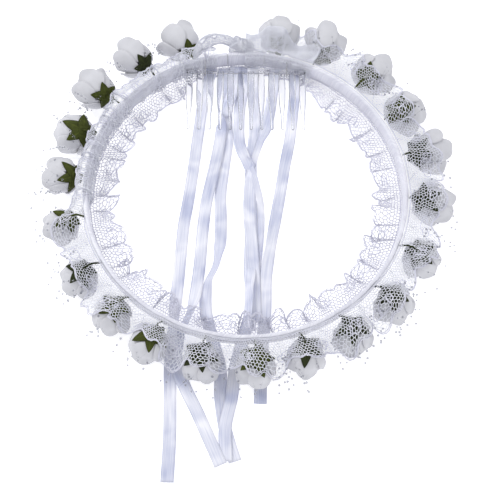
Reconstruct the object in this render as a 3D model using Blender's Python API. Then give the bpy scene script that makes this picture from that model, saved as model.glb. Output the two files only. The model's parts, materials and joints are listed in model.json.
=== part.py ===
"""A flower crown: a satin-wrapped hoop with foam roses, lace ruffles, a hair comb and ribbon tails.

Metres, +Z up. The crown lies on a table with the side that meets the head turned up. The origin is
on the table at the middle of the crown, and +Y points to its back, where the ends of the hoop's
satin meet and the comb, the lace bow and the ribbon tails are tied on.
"""

from math import asin, cos, pi, radians, sin, sqrt

import bmesh
import bpy
from mathutils import Matrix, Vector
from mathutils.bvhtree import BVHTree

# ---- Driving dimensions -------------------------------------------------------------------------

GAP = 0.0003                      # clearance between pieces that touch on the real crown

HOOP_RADIUS = 0.0870              # middle of the hoop's strip
CORE_HEIGHT = 0.0086
CORE_THICKNESS = 0.0012
SATIN_WALL = 0.0004               # the satin ribbon wound round the core
HOOP_BASE = 0.0070                # height of the band's lower edge above the table
HOOP_STEPS = 72                   # facets round the hoop
SLEEVE_HALF_ANGLE = 7.0           # degrees of the hoop each side of the back that the sleeve covers

ROSE_RADIUS = 0.0102
ROSE_LENGTH = 0.0170              # from the seat in the calyx to the tip of the bud
ROSE_COLUMNS = 15
PETALS = 5
ROSE_SPIN = 36.0                  # degrees that each rose is turned on its stem from the one before
ROSE_CLEARANCE = 0.0012           # between a calyx and the band

CALYX_WALL = 0.0005
SEPAL_HALF_ANGLE = 15.0           # degrees, at the widest part of a sepal
SEPAL_TIP_HEIGHT = 0.46           # share of the rose's length
STEM_RADIUS = 0.0005
STEM_DROP = 0.0005                # the stem meets the band this far under the band's top
STEM_NECK = 0.0012                # the stem's straight start, out of the calyx
STEM_ARCH = 0.0032                # how far the stem arches over the calyx of a rose that faces down
STEM_STEP = 0.0012

LACE_WALL = 0.0004
INNER_LACE_REACH = 0.0180         # how far the lower ruffle spreads in from the band
INNER_LACE_EDGE_HEIGHT = 0.0031
OUTER_LACE_REACH = 0.0140         # how far the upper ruffle spreads out over the calyxes
LACE_PLEATS = 36
LACE_WAVE = 0.0004
LACE_END_ANGLE = 20.0             # degrees each side of the back where the upper ruffle stops
UPPER_LACE_STEPS = 6
UPPER_LACE_CLEARANCE = 0.0012     # over the calyxes, pleats included
UPPER_LACE_RISE = 0.0013          # the upper ruffle climbs from the band within this distance
CREST_STEPS = 720                 # bearings at which the calyxes' height is looked up
CREST_MARGIN = 0.0008
SKY = 0.1                         # height from which it is looked up
SEARCH_MARGIN = 0.0020            # over and under the band, where a calyx may come near it

BACK = 90.0                       # bearing of the back of the crown, in degrees
KNOT_RADIUS = 0.0036
KNOT_SHIFT = 2.0                  # degrees of the knot from the back, towards the loop
KNOT_HALF_ANGLE = 6.0             # degrees each side of the knot where the flap and loop start
FLAP_EXTRA_REACH = 0.0020
FLAP_STEPS = 8
LOOP_FOOT = 0.0012                # the loop's ends stand this far off the band
LOOP_REACH = 0.0088
LOOP_ANGLE = 11.0                 # degrees of the hoop that the loop spans

COMB_WIDTH = 0.0690
COMB_TEETH = 12
COMB_LENGTH = 0.0390
COMB_THICKNESS = 0.0016
COMB_SPINE = 0.0035
TOOTH_ROOT = 0.0040
TOOTH_TIP = 0.0020
COMB_AXIS_HEIGHT = 0.0140
COMB_TIP_HEIGHT = 0.0130          # the teeth lie nearly level in the ring
TIE_RADIUS = 0.0003
TIE_PITCHES = 4                   # teeth between each tie and the middle of the comb

RIBBON_WIDTH = 0.0065
RIBBON_THICKNESS = 0.0003
RIBBON_STEP = 0.0055              # spacing of the stations along a ribbon

# bearing of the seat in degrees from +X, droop of the rose's axis in degrees, bearing that the axis
# points to, distance beyond the nearest place that clears the band in mm, height of the lowest petal
# above the table in mm
ROSES = [
    (12.5, 40, 36, 2.5, 0), (28.5, 55, 46, 3, 0), (45.5, 45, 62, 4.5, 0), (64, 25, 73, 5.5, 0),
    (78.5, 30, 84, 3.5, 0), (110.5, 20, 121, 5, 0), (126.5, 22, 134, 7, 0), (144, 30, 132, 6, 0),
    (160.5, 55, 145, 1, 0), (177, 35, 160, 0, 0), (193, 60, 185, 0, 0), (212, 75, 190, 0, 0),
    (228, 78, 200, 0, 4), (242, 78, 215, 0, 4), (257, 85, 257, 0, 4), (273, 85, 273, 0, 4),
    (287.5, 82, 290, 0, 4), (302, 80, 310, 0, 5), (318, 76, 330, 0, 5), (336, 72, 10, 0, 0),
    (355, 58, 20, 0, 0),
]

# Where each ribbon tail runs, back to front, in mm. The first point is at the band.
RIBBON_ROUTES = {
    "ribbon_tail_1": [
        (-20, 82.4, 6.6), (-22, 75, 5.8), (-24, 67, 4.7), (-25.5, 58, 2.8), (-26.5, 49, 1.0),
        (-28, 36, 0.4), (-29.5, 20, 0.4), (-32, -2, 0.4), (-34, -17, 0.4), (-35, -33, 0.4),
        (-36, -50, 0.4), (-37.5, -72, 0.4), (-38.5, -94, 0.4), (-38, -115, 0.4),
        (-37.5, -135, 0.4), (-38, -156, 0.4),
    ],
    "ribbon_tail_2": [
        (-6, 84.6, 7.6), (-6.5, 76, 6.6), (-8, 67, 5.4), (-11, 58, 3.8), (-13.5, 50, 2.2),
        (-14.5, 40, 1.6), (-17, 23, 1.6), (-20, 7, 1.6), (-22, -5, 1.6), (-23.5, -21, 1.6),
        (-25, -45, 1.6), (-28, -66, 1.6), (-34, -82, 1.6), (-35.5, -94, 1.6), (-31.5, -107, 1.6),
        (-24, -122, 1.6), (-17.5, -136, 1.6), (-12, -148, 1.6),
    ],
    "ribbon_tail_3": [
        (-13, 83.6, 6.7), (-12.5, 76, 5.8), (-12, 67, 4.6), (-11.5, 58, 2.8), (-11, 50, 1.0),
        (-10.5, 36, 0.4), (-12.5, 18, 0.4), (-14, 2, 0.4), (-13.5, -15, 0.4), (-14, -30, 0.4),
        (-16, -42, 0.4), (-20, -52, 0.4), (-21, -66, 0.4), (-17.5, -82, 0.4), (-13, -98, 0.4),
        (-12.5, -114, 0.4), (-10, -130, 0.4), (-5, -146, 0.4),
    ],
    "ribbon_tail_4": [
        (0, 84.6, 6.8), (-1, 76, 5.8), (-2, 67, 4.6), (-3.5, 58, 2.8), (-4, 48, 0.8),
        (-3.5, 36, 0.4), (0, 24, 0.4), (4.5, 10, 0.4), (7, -5, 0.4), (7, -20, 0.4),
        (5.5, -38, 0.4), (4, -58, 0.4), (2, -78, 0.4),
    ],
    "ribbon_tail_5": [
        (4, 84.4, 7.6), (4, 76, 6.6), (4.5, 67, 5.2), (5, 58, 3.0), (5, 48, 1.1), (4.5, 36, 1.0),
        (3, 20, 1.0), (3, 2, 1.0), (3, -15, 1.0), (2.5, -34, 1.0), (2, -54, 1.0), (0.5, -76, 1.0),
        (-5, -97, 1.0), (-7, -114, 1.0), (-10, -129, 1.0), (-9.5, -146, 1.0),
    ],
    "ribbon_tail_6": [
        (18, 82.8, 7.0), (17, 76, 6.2), (15.5, 67, 5.0), (14, 56, 3.0), (11.5, 45, 1.6),
        (8, 34, 1.6), (4.5, 22, 1.6), (2.5, 8, 1.6), (2, -10, 1.6), (3.5, -30, 1.6),
        (4.5, -50, 1.6), (5, -74, 1.6),
    ],
    "ribbon_tail_7": [
        (30, 79.3, 6.6), (29.5, 74, 5.8), (28.5, 66, 4.7), (27.5, 57, 2.6), (26.5, 47, 0.7),
        (25, 36, 0.4), (22, 20, 0.4), (19.5, 4, 0.4), (16.5, -13, 0.5), (13.5, -31, 1.0),
        (11, -48, 1.0), (10.5, -65, 0.8), (9, -84, 0.4), (8, -100, 0.4), (7.5, -117, 0.4),
    ],
}

# ---- Sizes that follow from them ----------------------------------------------------------------

BAND_HALF = CORE_THICKNESS / 2 + GAP + SATIN_WALL
BAND_INNER = HOOP_RADIUS - BAND_HALF
BAND_OUTER = HOOP_RADIUS + BAND_HALF
BAND_HEIGHT = CORE_HEIGHT + 2 * (GAP + SATIN_WALL)
BAND_TOP = HOOP_BASE + BAND_HEIGHT
COMB_PITCH = (COMB_WIDTH - TOOTH_ROOT) / (COMB_TEETH - 1)
TIE_SPREAD = TIE_PITCHES * COMB_PITCH
COMB_AXIS_Y = sqrt(BAND_INNER ** 2 - (COMB_WIDTH / 2) ** 2) - COMB_SPINE / 2 - 2 * GAP
COMB_DROOP = asin((COMB_AXIS_HEIGHT - COMB_TIP_HEIGHT) / COMB_LENGTH)

# the rose's turned profile: share of its length, share of its radius, depth of the petals' lobes
ROSE_PROFILE = [
    (0.00, 0.34, 0.00), (0.12, 0.70, 0.01), (0.30, 0.93, 0.03), (0.54, 1.00, 0.05),
    (0.80, 0.92, 0.08), (1.00, 0.62, 0.10), (0.93, 0.30, 0.04),
]


# ---- Helpers ------------------------------------------------------------------------------------

def clear_scene():
    for old in list(bpy.data.objects):
        bpy.data.objects.remove(old)


def material(name, colour, roughness, transmission=0.0):
    made = bpy.data.materials.new(name)
    made.use_nodes = True
    shader = made.node_tree.nodes["Principled BSDF"]
    shader.inputs["Base Color"].default_value = (*colour, 1)
    shader.inputs["Roughness"].default_value = roughness
    shader.inputs["Metallic"].default_value = 0.0
    shader.inputs["Transmission Weight"].default_value = transmission
    made.diffuse_color = (*colour, 1)
    return made


def empty(name, place=(0, 0, 0)):
    made = bpy.data.objects.new(name, None)
    made.location = place
    bpy.context.collection.objects.link(made)
    return made


def add_object(name, mesh, finish, parent):
    made = bpy.data.objects.new(name, mesh)
    if finish.name not in mesh.materials:
        mesh.materials.append(finish)
    made.parent = parent
    bpy.context.collection.objects.link(made)
    return made


def finish_mesh(name, bm, smooth=True):
    bmesh.ops.recalc_face_normals(bm, faces=bm.faces)
    mesh = bpy.data.meshes.new(name)
    bm.to_mesh(mesh)
    bm.free()
    if smooth:
        mesh.shade_smooth()
        mesh.set_sharp_from_angle(angle=radians(40))
    return mesh


def polar(radius, degrees, height):
    return Vector((radius * cos(radians(degrees)), radius * sin(radians(degrees)), height))


def bridge(bm, first, second, closed):
    """Quads between two rows of vertices of the same length."""
    count = len(first)
    for i in range(count if closed else count - 1):
        j = (i + 1) % count
        bm.faces.new((first[i], first[j], second[j], second[i]))


def turned_ring(name, outline, steps, start=0.0, end=360.0, capped=True, wave=None):
    """Sweep a closed outline of (radius, height) round Z, all the way or from start to end.

    wave(bearing, share) gives a rise in height, where share runs from 0 at the first point of the
    outline's first half to 1 at its last.
    """
    full = end - start >= 360.0
    stations = steps if full else steps + 1
    half = len(outline) // 2
    bm = bmesh.new()
    rows = []
    for s in range(stations):
        bearing = start + (end - start) * s / steps
        row = []
        for k, (radius, height) in enumerate(outline):
            share = k / (half - 1) if k < half else (len(outline) - 1 - k) / (half - 1)
            rise = wave(bearing, share) if wave else 0.0
            row.append(bm.verts.new(polar(radius, bearing, height + rise)))
        rows.append(row)
    for s in range(stations - 1):
        bridge(bm, rows[s], rows[s + 1], closed=True)
    if full:
        bridge(bm, rows[-1], rows[0], closed=True)
    elif capped:
        bm.faces.new(rows[0])
        bm.faces.new(rows[-1])
    return finish_mesh(name, bm)


def box_outline(half_width, low, high):
    return [(HOOP_RADIUS - half_width, low), (HOOP_RADIUS + half_width, low),
            (HOOP_RADIUS + half_width, high), (HOOP_RADIUS - half_width, high)]


def smooth_path(points, step):
    """A Catmull-Rom curve through the points, read about every step metres."""
    ends = [2 * points[0] - points[1], *points, 2 * points[-1] - points[-2]]
    path = []
    for a, b, c, d in zip(ends, ends[1:], ends[2:], ends[3:]):
        pieces = max(1, round((c - b).length / step))
        for i in range(pieces):
            t = i / pieces
            path.append(0.5 * (2 * b + (c - a) * t + (2 * a - 5 * b + 4 * c - d) * t ** 2
                               + (3 * b - a - 3 * c + d) * t ** 3))
    path.append(points[-1].copy())
    return path


def strip_mesh(name, path, width, thickness, across):
    """A flat strip along a path. across(tangent) is the direction of its width."""
    bm = bmesh.new()
    rows = []
    for i, point in enumerate(path):
        tangent = (path[min(i + 1, len(path) - 1)] - path[max(i - 1, 0)]).normalized()
        side = across(tangent).normalized()
        normal = tangent.cross(side)
        corners = [side * (u * width / 2) + normal * (v * thickness / 2)
                   for u, v in ((-1, -1), (1, -1), (1, 1), (-1, 1))]
        rows.append([bm.verts.new(point + corner) for corner in corners])
    for first, second in zip(rows, rows[1:]):
        bridge(bm, first, second, closed=True)
    bm.faces.new(rows[0])
    bm.faces.new(rows[-1])
    return finish_mesh(name, bm)


def tube_object(name, path, radius, finish, parent):
    """A thread: a curve with a round section and filled caps."""
    curve = bpy.data.curves.new(name, "CURVE")
    curve.dimensions = "3D"
    curve.bevel_depth = radius
    curve.bevel_resolution = 1
    curve.use_fill_caps = True
    spline = curve.splines.new("POLY")
    spline.points.add(len(path) - 1)
    for point, place in zip(spline.points, path):
        point.co = (*place, 1)
    curve.materials.append(finish)
    made = bpy.data.objects.new(name, curve)
    made.parent = parent
    bpy.context.collection.objects.link(made)
    return made


# ---- Hoop ---------------------------------------------------------------------------------------

def make_hoop(parent, core_finish, satin):
    core_low = HOOP_BASE + SATIN_WALL + GAP
    core = turned_ring("hoop_core",
                       box_outline(CORE_THICKNESS / 2, core_low, core_low + CORE_HEIGHT),
                       HOOP_STEPS)
    add_object("hoop_core", core, core_finish, parent)

    wrap_end = SLEEVE_HALF_ANGLE + GAP / HOOP_RADIUS * 180 / pi
    outline = box_outline(BAND_HALF, HOOP_BASE, BAND_TOP)
    step = 360.0 / HOOP_STEPS
    for name, start, end in (("satin_wrap", 90 + wrap_end, 450 - wrap_end),
                             ("satin_back_sleeve", 90 - SLEEVE_HALF_ANGLE, 90 + SLEEVE_HALF_ANGLE)):
        shell = turned_ring(name, outline, max(4, round((end - start) / step)), start, end,
                            capped=False)
        wrap = add_object(name, shell, satin, parent)
        wall = wrap.modifiers.new("satin wall", "SOLIDIFY")
        wall.thickness = SATIN_WALL
        wall.offset = -1.0
        wall.use_even_offset = True


# ---- Roses --------------------------------------------------------------------------------------

def lobed_radius(share, lobe, degrees):
    return ROSE_RADIUS * share * (1 + lobe * cos(radians(PETALS * degrees)))


def rose_outline_points(grow=0.0):
    """The rose's turned and lobed points, ring after ring, on its own +Z axis."""
    points = []
    for height, share, lobe in ROSE_PROFILE:
        for column in range(ROSE_COLUMNS):
            degrees = 360.0 * column / ROSE_COLUMNS
            radius = lobed_radius(share, lobe, degrees) + grow
            points.append(polar(radius, degrees, height * ROSE_LENGTH - grow))
    return points


def rose_mesh():
    """One rose head on its own +Z axis, seated at the origin."""
    bm = bmesh.new()
    verts = [bm.verts.new(point) for point in rose_outline_points()]
    rings = [verts[i:i + ROSE_COLUMNS] for i in range(0, len(verts), ROSE_COLUMNS)]
    for first, second in zip(rings, rings[1:]):
        bridge(bm, first, second, closed=True)
    bm.faces.new(rings[0])
    bud = bm.verts.new((0, 0, 0.98 * ROSE_LENGTH))
    for i in range(ROSE_COLUMNS):
        bm.faces.new((rings[-1][i], rings[-1][(i + 1) % ROSE_COLUMNS], bud))
    return finish_mesh("rose", bm)


def calyx_layer(bm, clearance):
    """The star of sepals as one surface that follows the rose at a clearance."""
    columns = 3 * PETALS
    spread = 1 / cos(pi / columns)

    def at(height, degrees):
        for low, high in zip(ROSE_PROFILE, ROSE_PROFILE[1:]):
            if height <= high[0]:
                t = (height - low[0]) / (high[0] - low[0])
                share = low[1] + (high[1] - low[1]) * t
                lobe = low[2] + (high[2] - low[2]) * t
                break
        radius = ROSE_RADIUS * share * (1 + lobe) * spread + clearance
        return bm.verts.new(polar(radius, degrees, height * ROSE_LENGTH - clearance))

    turn = 360.0 / columns
    seat, cup = [[at(ROSE_PROFILE[k][0], i * turn) for i in range(columns)] for k in (0, 1)]
    widest, tips = [], []
    for petal in range(PETALS):
        middle = (3 * petal + 1.5) * turn
        widest.append([at(ROSE_PROFILE[2][0], middle + side * SEPAL_HALF_ANGLE)
                       for side in (-1, 1)])
        tips.append(at(SEPAL_TIP_HEIGHT, middle))
    bridge(bm, seat, cup, closed=True)
    edge = []
    for petal in range(PETALS):
        left, right = widest[petal]
        first, near, far = (cup[3 * petal + i] for i in range(3))
        last = cup[(3 * petal + 3) % columns]
        bm.faces.new((first, near, left))
        bm.faces.new((near, far, right, left))
        bm.faces.new((far, last, right))
        bm.faces.new((left, right, tips[petal]))
        edge += [first, left, tips[petal], right]
    return seat, edge


def stem_rows(bm, path, sides):
    """Rings of vertices along a stem that leaves the calyx down its own axis."""
    rows = []
    for i, point in enumerate(path):
        tangent = (path[min(i + 1, len(path) - 1)] - path[max(i - 1, 0)]).normalized()
        tilt = Vector((0, 0, -1)).rotation_difference(tangent)
        rows.append([bm.verts.new(point + tilt @ polar(STEM_RADIUS, 360.0 * k / sides, 0))
                     for k in range(sides)])
    return rows


def calyx_mesh(path):
    """A star of sepals that cups the rose's seat, with its wire stem along a path."""
    bm = bmesh.new()
    inner_seat, inner_edge = calyx_layer(bm, GAP)
    outer_seat, outer_edge = calyx_layer(bm, GAP + CALYX_WALL)
    bm.faces.new(inner_seat)
    bridge(bm, inner_edge, outer_edge, closed=True)
    rows = stem_rows(bm, path, len(outer_seat))
    bridge(bm, outer_seat, rows[0], closed=True)
    for first, second in zip(rows, rows[1:]):
        bridge(bm, first, second, closed=True)
    bm.faces.new(rows[-1])
    return finish_mesh("calyx", bm)


def rose_turn(rose):
    """The rotation that points a rose's own +Z outwards and down, and that direction."""
    _, droop, heading, _, _ = rose
    spin = Matrix.Rotation(radians(ROSE_SPIN * ROSES.index(rose)), 3, "Z")
    aim = polar(cos(radians(droop)), heading, -sin(radians(droop)))
    return aim.to_track_quat("Z", "Y").to_matrix() @ spin, aim


def rose_seat(rose, turn):
    """Where the calyx holds the rose: it is pushed in until it nearly meets the band."""
    bearing, _, _, out, lift = rose
    height = lift / 1000 - min((turn @ point).z for point in rose_outline_points())
    beside = []
    for point in rose_outline_points(2 * GAP + CALYX_WALL):
        spot = turn @ point
        if HOOP_BASE - SEARCH_MARGIN < spot.z + height < BAND_TOP + SEARCH_MARGIN:
            beside.append(spot)
    reach = BAND_OUTER
    for _ in range(6):
        seat = polar(reach, bearing, height)
        nearest = min((seat + spot).xy.length for spot in beside)
        reach += BAND_OUTER + ROSE_CLEARANCE - nearest
    return polar(reach + out / 1000, bearing, height)


def stem_path(rose, seat, aim):
    """From the calyx, over its edge where the rose faces down, to the band."""
    bearing, droop, _, _, _ = rose
    root = seat - aim * (GAP + CALYX_WALL)
    neck = root - aim * STEM_NECK
    end = polar(BAND_OUTER + STEM_RADIUS + GAP, bearing, BAND_TOP - STEM_DROP)
    arch = (neck + end) / 2 + Vector((0, 0, STEM_ARCH * sin(radians(droop))))
    return smooth_path([root, neck, arch, end], STEM_STEP)


def make_roses(parent, foam, leaf):
    """Make the roses and their calyxes, and return all their faces for the lace to lie over."""
    head = rose_mesh()
    points, faces = [], []
    for number, rose_place in enumerate(ROSES, 1):
        turn, aim = rose_turn(rose_place)
        seat = rose_seat(rose_place, turn)
        stem = [turn.transposed() @ (point - seat) for point in stem_path(rose_place, seat, aim)]
        for name, mesh, finish in ((f"rose_{number:02d}", head, foam),
                                   (f"calyx_{number:02d}", calyx_mesh(stem), leaf)):
            made = add_object(name, mesh, finish, parent)
            made.location = seat
            made.rotation_euler = turn.to_euler()
            start = len(points)
            points.extend(seat + turn @ vertex.co for vertex in mesh.vertices)
            faces.extend([start + k for k in face.vertices] for face in mesh.polygons)
    return BVHTree.FromPolygons(points, faces)


# ---- Lace ---------------------------------------------------------------------------------------

def ruffle_outline(surface):
    """A closed outline round a line of (radius, height), one wall thick."""
    half = LACE_WALL / 2
    return ([(radius, height - half) for radius, height in surface]
            + [(radius, height + half) for radius, height in reversed(surface)])


def pleat(bearing, share):
    return LACE_WAVE * share * cos(radians(LACE_PLEATS * bearing))


def crest(heads, radius):
    """The highest that the roses, calyxes and stems reach at a distance from the crown's middle."""
    highest = 0.0
    for step in range(CREST_STEPS):
        for shift in (-CREST_MARGIN, 0.0, CREST_MARGIN):
            eye = polar(radius + shift, 360.0 * step / CREST_STEPS, SKY)
            hit = heads.ray_cast(eye, Vector((0, 0, -1)))[0]
            highest = max(highest, hit.z if hit else 0.0)
    return highest


def upper_lace_surface(heads, reach):
    """The line that the upper ruffle follows, up from the band and out over the calyxes."""
    start = BAND_OUTER + GAP
    surface = [(start, BAND_TOP + GAP + LACE_WALL / 2)]
    for step in range(UPPER_LACE_STEPS + 1):
        radius = start + UPPER_LACE_RISE + (reach - UPPER_LACE_RISE) * step / UPPER_LACE_STEPS
        height = crest(heads, radius) + UPPER_LACE_CLEARANCE
        surface.append((radius, max(surface[-1][1], height)))
    return surface


def make_lace(parent, lace, heads):
    low = HOOP_BASE - GAP - LACE_WALL
    start = HOOP_RADIUS
    drop = low - INNER_LACE_EDGE_HEIGHT
    surface = [(start, low), (start - 0.35 * INNER_LACE_REACH, low - 0.45 * drop),
               (start - INNER_LACE_REACH, INNER_LACE_EDGE_HEIGHT)]
    inner = turned_ring("lace_inner_ruffle", ruffle_outline(surface), 2 * LACE_PLEATS, wave=pleat)
    add_object("lace_inner_ruffle", inner, lace, parent)

    surface = upper_lace_surface(heads, OUTER_LACE_REACH)
    outer = turned_ring("lace_outer_ruffle", ruffle_outline(surface), 2 * LACE_PLEATS,
                        BACK + LACE_END_ANGLE, BACK + 360 - LACE_END_ANGLE, wave=pleat)
    add_object("lace_outer_ruffle", outer, lace, parent)


def make_bow(parent, lace, heads):
    """The lace gathered over the joint at the back: a knot, an arched loop and a wide flap."""
    surface = upper_lace_surface(heads, OUTER_LACE_REACH + FLAP_EXTRA_REACH)
    flap = turned_ring("lace_bow_flap", ruffle_outline(surface), FLAP_STEPS,
                       BACK - LACE_END_ANGLE + 1, BACK + KNOT_SHIFT - KNOT_HALF_ANGLE)
    add_object("lace_bow_flap", flap, lace, parent)

    bm = bmesh.new()
    bmesh.ops.create_uvsphere(bm, u_segments=12, v_segments=8, radius=KNOT_RADIUS)
    knot = add_object("lace_bow_knot", finish_mesh("lace_bow_knot", bm), lace, parent)
    knot.location = polar(BAND_OUTER + KNOT_RADIUS + GAP, BACK + KNOT_SHIFT,
                          BAND_TOP - KNOT_RADIUS)

    middle = HOOP_BASE + BAND_HEIGHT / 2
    low, high = BAND_OUTER + LOOP_FOOT, BAND_OUTER + LOOP_REACH
    start = BACK + KNOT_SHIFT + KNOT_HALF_ANGLE - 2
    arch = [(low, 0.0), (high, 0.32), (high, 0.64), (low, 1.0)]
    path = smooth_path([polar(radius, start + LOOP_ANGLE * share, middle)
                        for radius, share in arch], 0.003)
    loop = strip_mesh("lace_bow_loop", path, BAND_HEIGHT - 2 * GAP, LACE_WALL,
                      lambda tangent: Vector((0, 0, 1)))
    add_object("lace_bow_loop", loop, lace, parent)


# ---- Comb ---------------------------------------------------------------------------------------

def comb_outline():
    """The comb's outline in its own plane: the hinge axis is X, and the teeth point to -Y."""
    root, tip = -COMB_SPINE / 2, -COMB_LENGTH
    shoulder = 0.55 * TOOTH_TIP
    points = [(COMB_WIDTH / 2, COMB_SPINE / 2), (-COMB_WIDTH / 2, COMB_SPINE / 2)]
    for tooth in range(COMB_TEETH):
        x = -COMB_WIDTH / 2 + TOOTH_ROOT / 2 + tooth * COMB_PITCH
        points += [(x - TOOTH_ROOT / 2, root), (x - TOOTH_TIP / 2, tip + shoulder),
                   (x - TOOTH_TIP / 5, tip), (x + TOOTH_TIP / 5, tip),
                   (x + TOOTH_TIP / 2, tip + shoulder), (x + TOOTH_ROOT / 2, root)]
    return points


def make_comb(crown, clear_plastic, thread):
    hinge = empty("comb_hinge", (0, COMB_AXIS_Y, COMB_AXIS_HEIGHT))
    hinge.rotation_euler = (COMB_DROOP, 0, 0)
    bm = bmesh.new()
    half = COMB_THICKNESS / 2
    sides = [[bm.verts.new((x, y, z)) for x, y in comb_outline()] for z in (-half, half)]
    bridge(bm, *sides, closed=True)
    for side in sides:
        bm.faces.new(side)
    add_object("hair_comb", finish_mesh("hair_comb", bm, smooth=False), clear_plastic, hinge)

    loop = sqrt((COMB_SPINE / 2) ** 2 + half ** 2) + GAP + TIE_RADIUS
    for name, x in (("comb_tie_left", -TIE_SPREAD), ("comb_tie_right", TIE_SPREAD)):
        band_y = sqrt(BAND_INNER ** 2 - (abs(x) + TIE_RADIUS) ** 2) - GAP
        path = [(x, band_y, COMB_AXIS_HEIGHT + loop)]
        for i in range(9):
            turn = pi / 2 + pi * i / 8
            path.append((x, COMB_AXIS_Y + loop * cos(turn), COMB_AXIS_HEIGHT + loop * sin(turn)))
        path.append((x, band_y, COMB_AXIS_HEIGHT - loop))
        tube_object(name, path, TIE_RADIUS, thread, crown)


# ---- Ribbon tails -------------------------------------------------------------------------------

def make_ribbons(parent, satin):
    for name, route in RIBBON_ROUTES.items():
        path = smooth_path([Vector(point) / 1000 for point in route], RIBBON_STEP)
        ribbon = strip_mesh(name, path, RIBBON_WIDTH, RIBBON_THICKNESS,
                            lambda tangent: tangent.cross(Vector((0, 0, 1))))
        add_object(name, ribbon, satin, parent)


def main():
    clear_scene()
    satin = material("white satin", (0.86, 0.86, 0.92), 0.35)
    foam = material("white foam", (0.85, 0.85, 0.87), 0.80)
    leaf = material("green calyx cloth", (0.10, 0.16, 0.04), 0.75)
    lace = material("white lace", (0.90, 0.90, 0.96), 0.85)
    core_finish = material("hoop plastic", (0.80, 0.80, 0.80), 0.50)
    clear_plastic = material("clear plastic", (0.95, 0.95, 0.97), 0.10, transmission=1.0)
    thread = material("grey thread", (0.55, 0.55, 0.58), 0.60)

    crown = empty("crown")
    make_hoop(crown, core_finish, satin)
    heads = make_roses(crown, foam, leaf)
    make_lace(crown, lace, heads)
    make_bow(crown, lace, heads)
    make_comb(crown, clear_plastic, thread)
    make_ribbons(crown, satin)


main()
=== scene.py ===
# %% [markdown]
# # A white flower crown
#
# The crown is a plastic hoop wound in satin. Foam roses sit round it on wire stems, each in a green
# cloth calyx. One lace ruffle lies out over the roses and one lies in under the hoop. A clear comb
# is tied inside the back, where lace is knotted over the joint and seven satin tails are tied on.
# The crown lies with the side that meets the head turned up, so the calyxes show.

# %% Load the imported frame
import json
from math import cos, floor, pi, radians, sin, sqrt

import bmesh
import bpy
import numpy as np
from mathutils import Matrix, Vector, noise
from mathutils.bvhtree import BVHTree

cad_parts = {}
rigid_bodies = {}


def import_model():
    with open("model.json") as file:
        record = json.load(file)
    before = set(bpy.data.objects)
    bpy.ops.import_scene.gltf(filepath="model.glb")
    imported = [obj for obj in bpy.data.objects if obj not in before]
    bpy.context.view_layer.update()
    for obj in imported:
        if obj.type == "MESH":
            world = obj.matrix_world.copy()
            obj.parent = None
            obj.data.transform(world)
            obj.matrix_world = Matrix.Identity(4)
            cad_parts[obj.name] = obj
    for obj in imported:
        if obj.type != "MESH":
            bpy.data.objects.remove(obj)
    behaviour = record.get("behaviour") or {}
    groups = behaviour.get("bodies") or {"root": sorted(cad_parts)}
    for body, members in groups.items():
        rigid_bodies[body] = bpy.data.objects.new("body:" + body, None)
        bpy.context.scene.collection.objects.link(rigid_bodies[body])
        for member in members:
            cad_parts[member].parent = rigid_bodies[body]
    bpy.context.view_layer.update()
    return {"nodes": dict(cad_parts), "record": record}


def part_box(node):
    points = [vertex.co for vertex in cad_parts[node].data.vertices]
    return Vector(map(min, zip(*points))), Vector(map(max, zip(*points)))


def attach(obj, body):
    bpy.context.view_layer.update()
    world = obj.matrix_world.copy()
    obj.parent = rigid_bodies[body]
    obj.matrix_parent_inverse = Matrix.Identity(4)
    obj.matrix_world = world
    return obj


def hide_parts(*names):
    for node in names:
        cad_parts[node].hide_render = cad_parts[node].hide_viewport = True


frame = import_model()
UP = Vector((0, 0, 1))
print("the packed crown has", len(frame["nodes"]), "nodes")

# %% [markdown]
# ## Camera
#
# The crown is seen from its front, steeply from above. A short distance gives the near side of the
# ring its slightly larger scale. A small roll about the line of sight turns the ring as it lies.

# %% Camera
CAMERA_DISTANCE = 0.50
CAMERA_ELEVATION = 61.9
CAMERA_AZIMUTH = -1.2
CAMERA_AIM = Vector((0.0024, -0.0315, 0.0))
CAMERA_ROLL = 2.2
CAMERA_LENS = 64.3
SENSOR = 36.0


def polar(radius, degrees, height=0.0):
    return Vector((radius * cos(radians(degrees)), radius * sin(radians(degrees)), height))


def make_camera():
    lens = bpy.data.cameras.new("camera")
    lens.lens = CAMERA_LENS
    lens.sensor_width = SENSOR
    lens.clip_start = 0.01
    camera = bpy.data.objects.new("camera", lens)
    flat = CAMERA_DISTANCE * cos(radians(CAMERA_ELEVATION))
    eye = polar(flat, CAMERA_AZIMUTH - 90, CAMERA_DISTANCE * sin(radians(CAMERA_ELEVATION)))
    forward = (CAMERA_AIM - eye).normalized()
    right = forward.cross(UP).normalized()
    upward = right.cross(forward)
    axes = Matrix((right, upward, -forward)).transposed()
    roll = Matrix.Rotation(-radians(CAMERA_ROLL), 3, forward)
    camera.matrix_world = Matrix.Translation(eye) @ (roll @ axes).to_4x4()
    bpy.context.collection.objects.link(camera)
    bpy.context.scene.camera = camera
    print("camera at", [round(value, 3) for value in eye])


make_camera()

# %% [markdown]
# ## Small helpers
#
# Every piece is a mesh with its place in its own vertices. Most are grids of points joined by
# quads, with a UV map in metres that the cloth patterns read.

# %% Mesh helpers
def link(piece):
    bpy.context.collection.objects.link(piece)
    return piece


def new_piece(name, mesh, finish):
    mesh.materials.append(finish)
    return link(bpy.data.objects.new(name, mesh))


def grid_faces(rows, columns, wrap=False):
    """The quads of a grid of points. wrap joins its last column to its first."""
    faces = []
    for row in range(0, (rows - 1) * columns, columns):
        for j in range(columns if wrap else columns - 1):
            k = (j + 1) % columns
            faces.append([row + j, row + columns + j, row + columns + k, row + k])
    return faces


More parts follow.
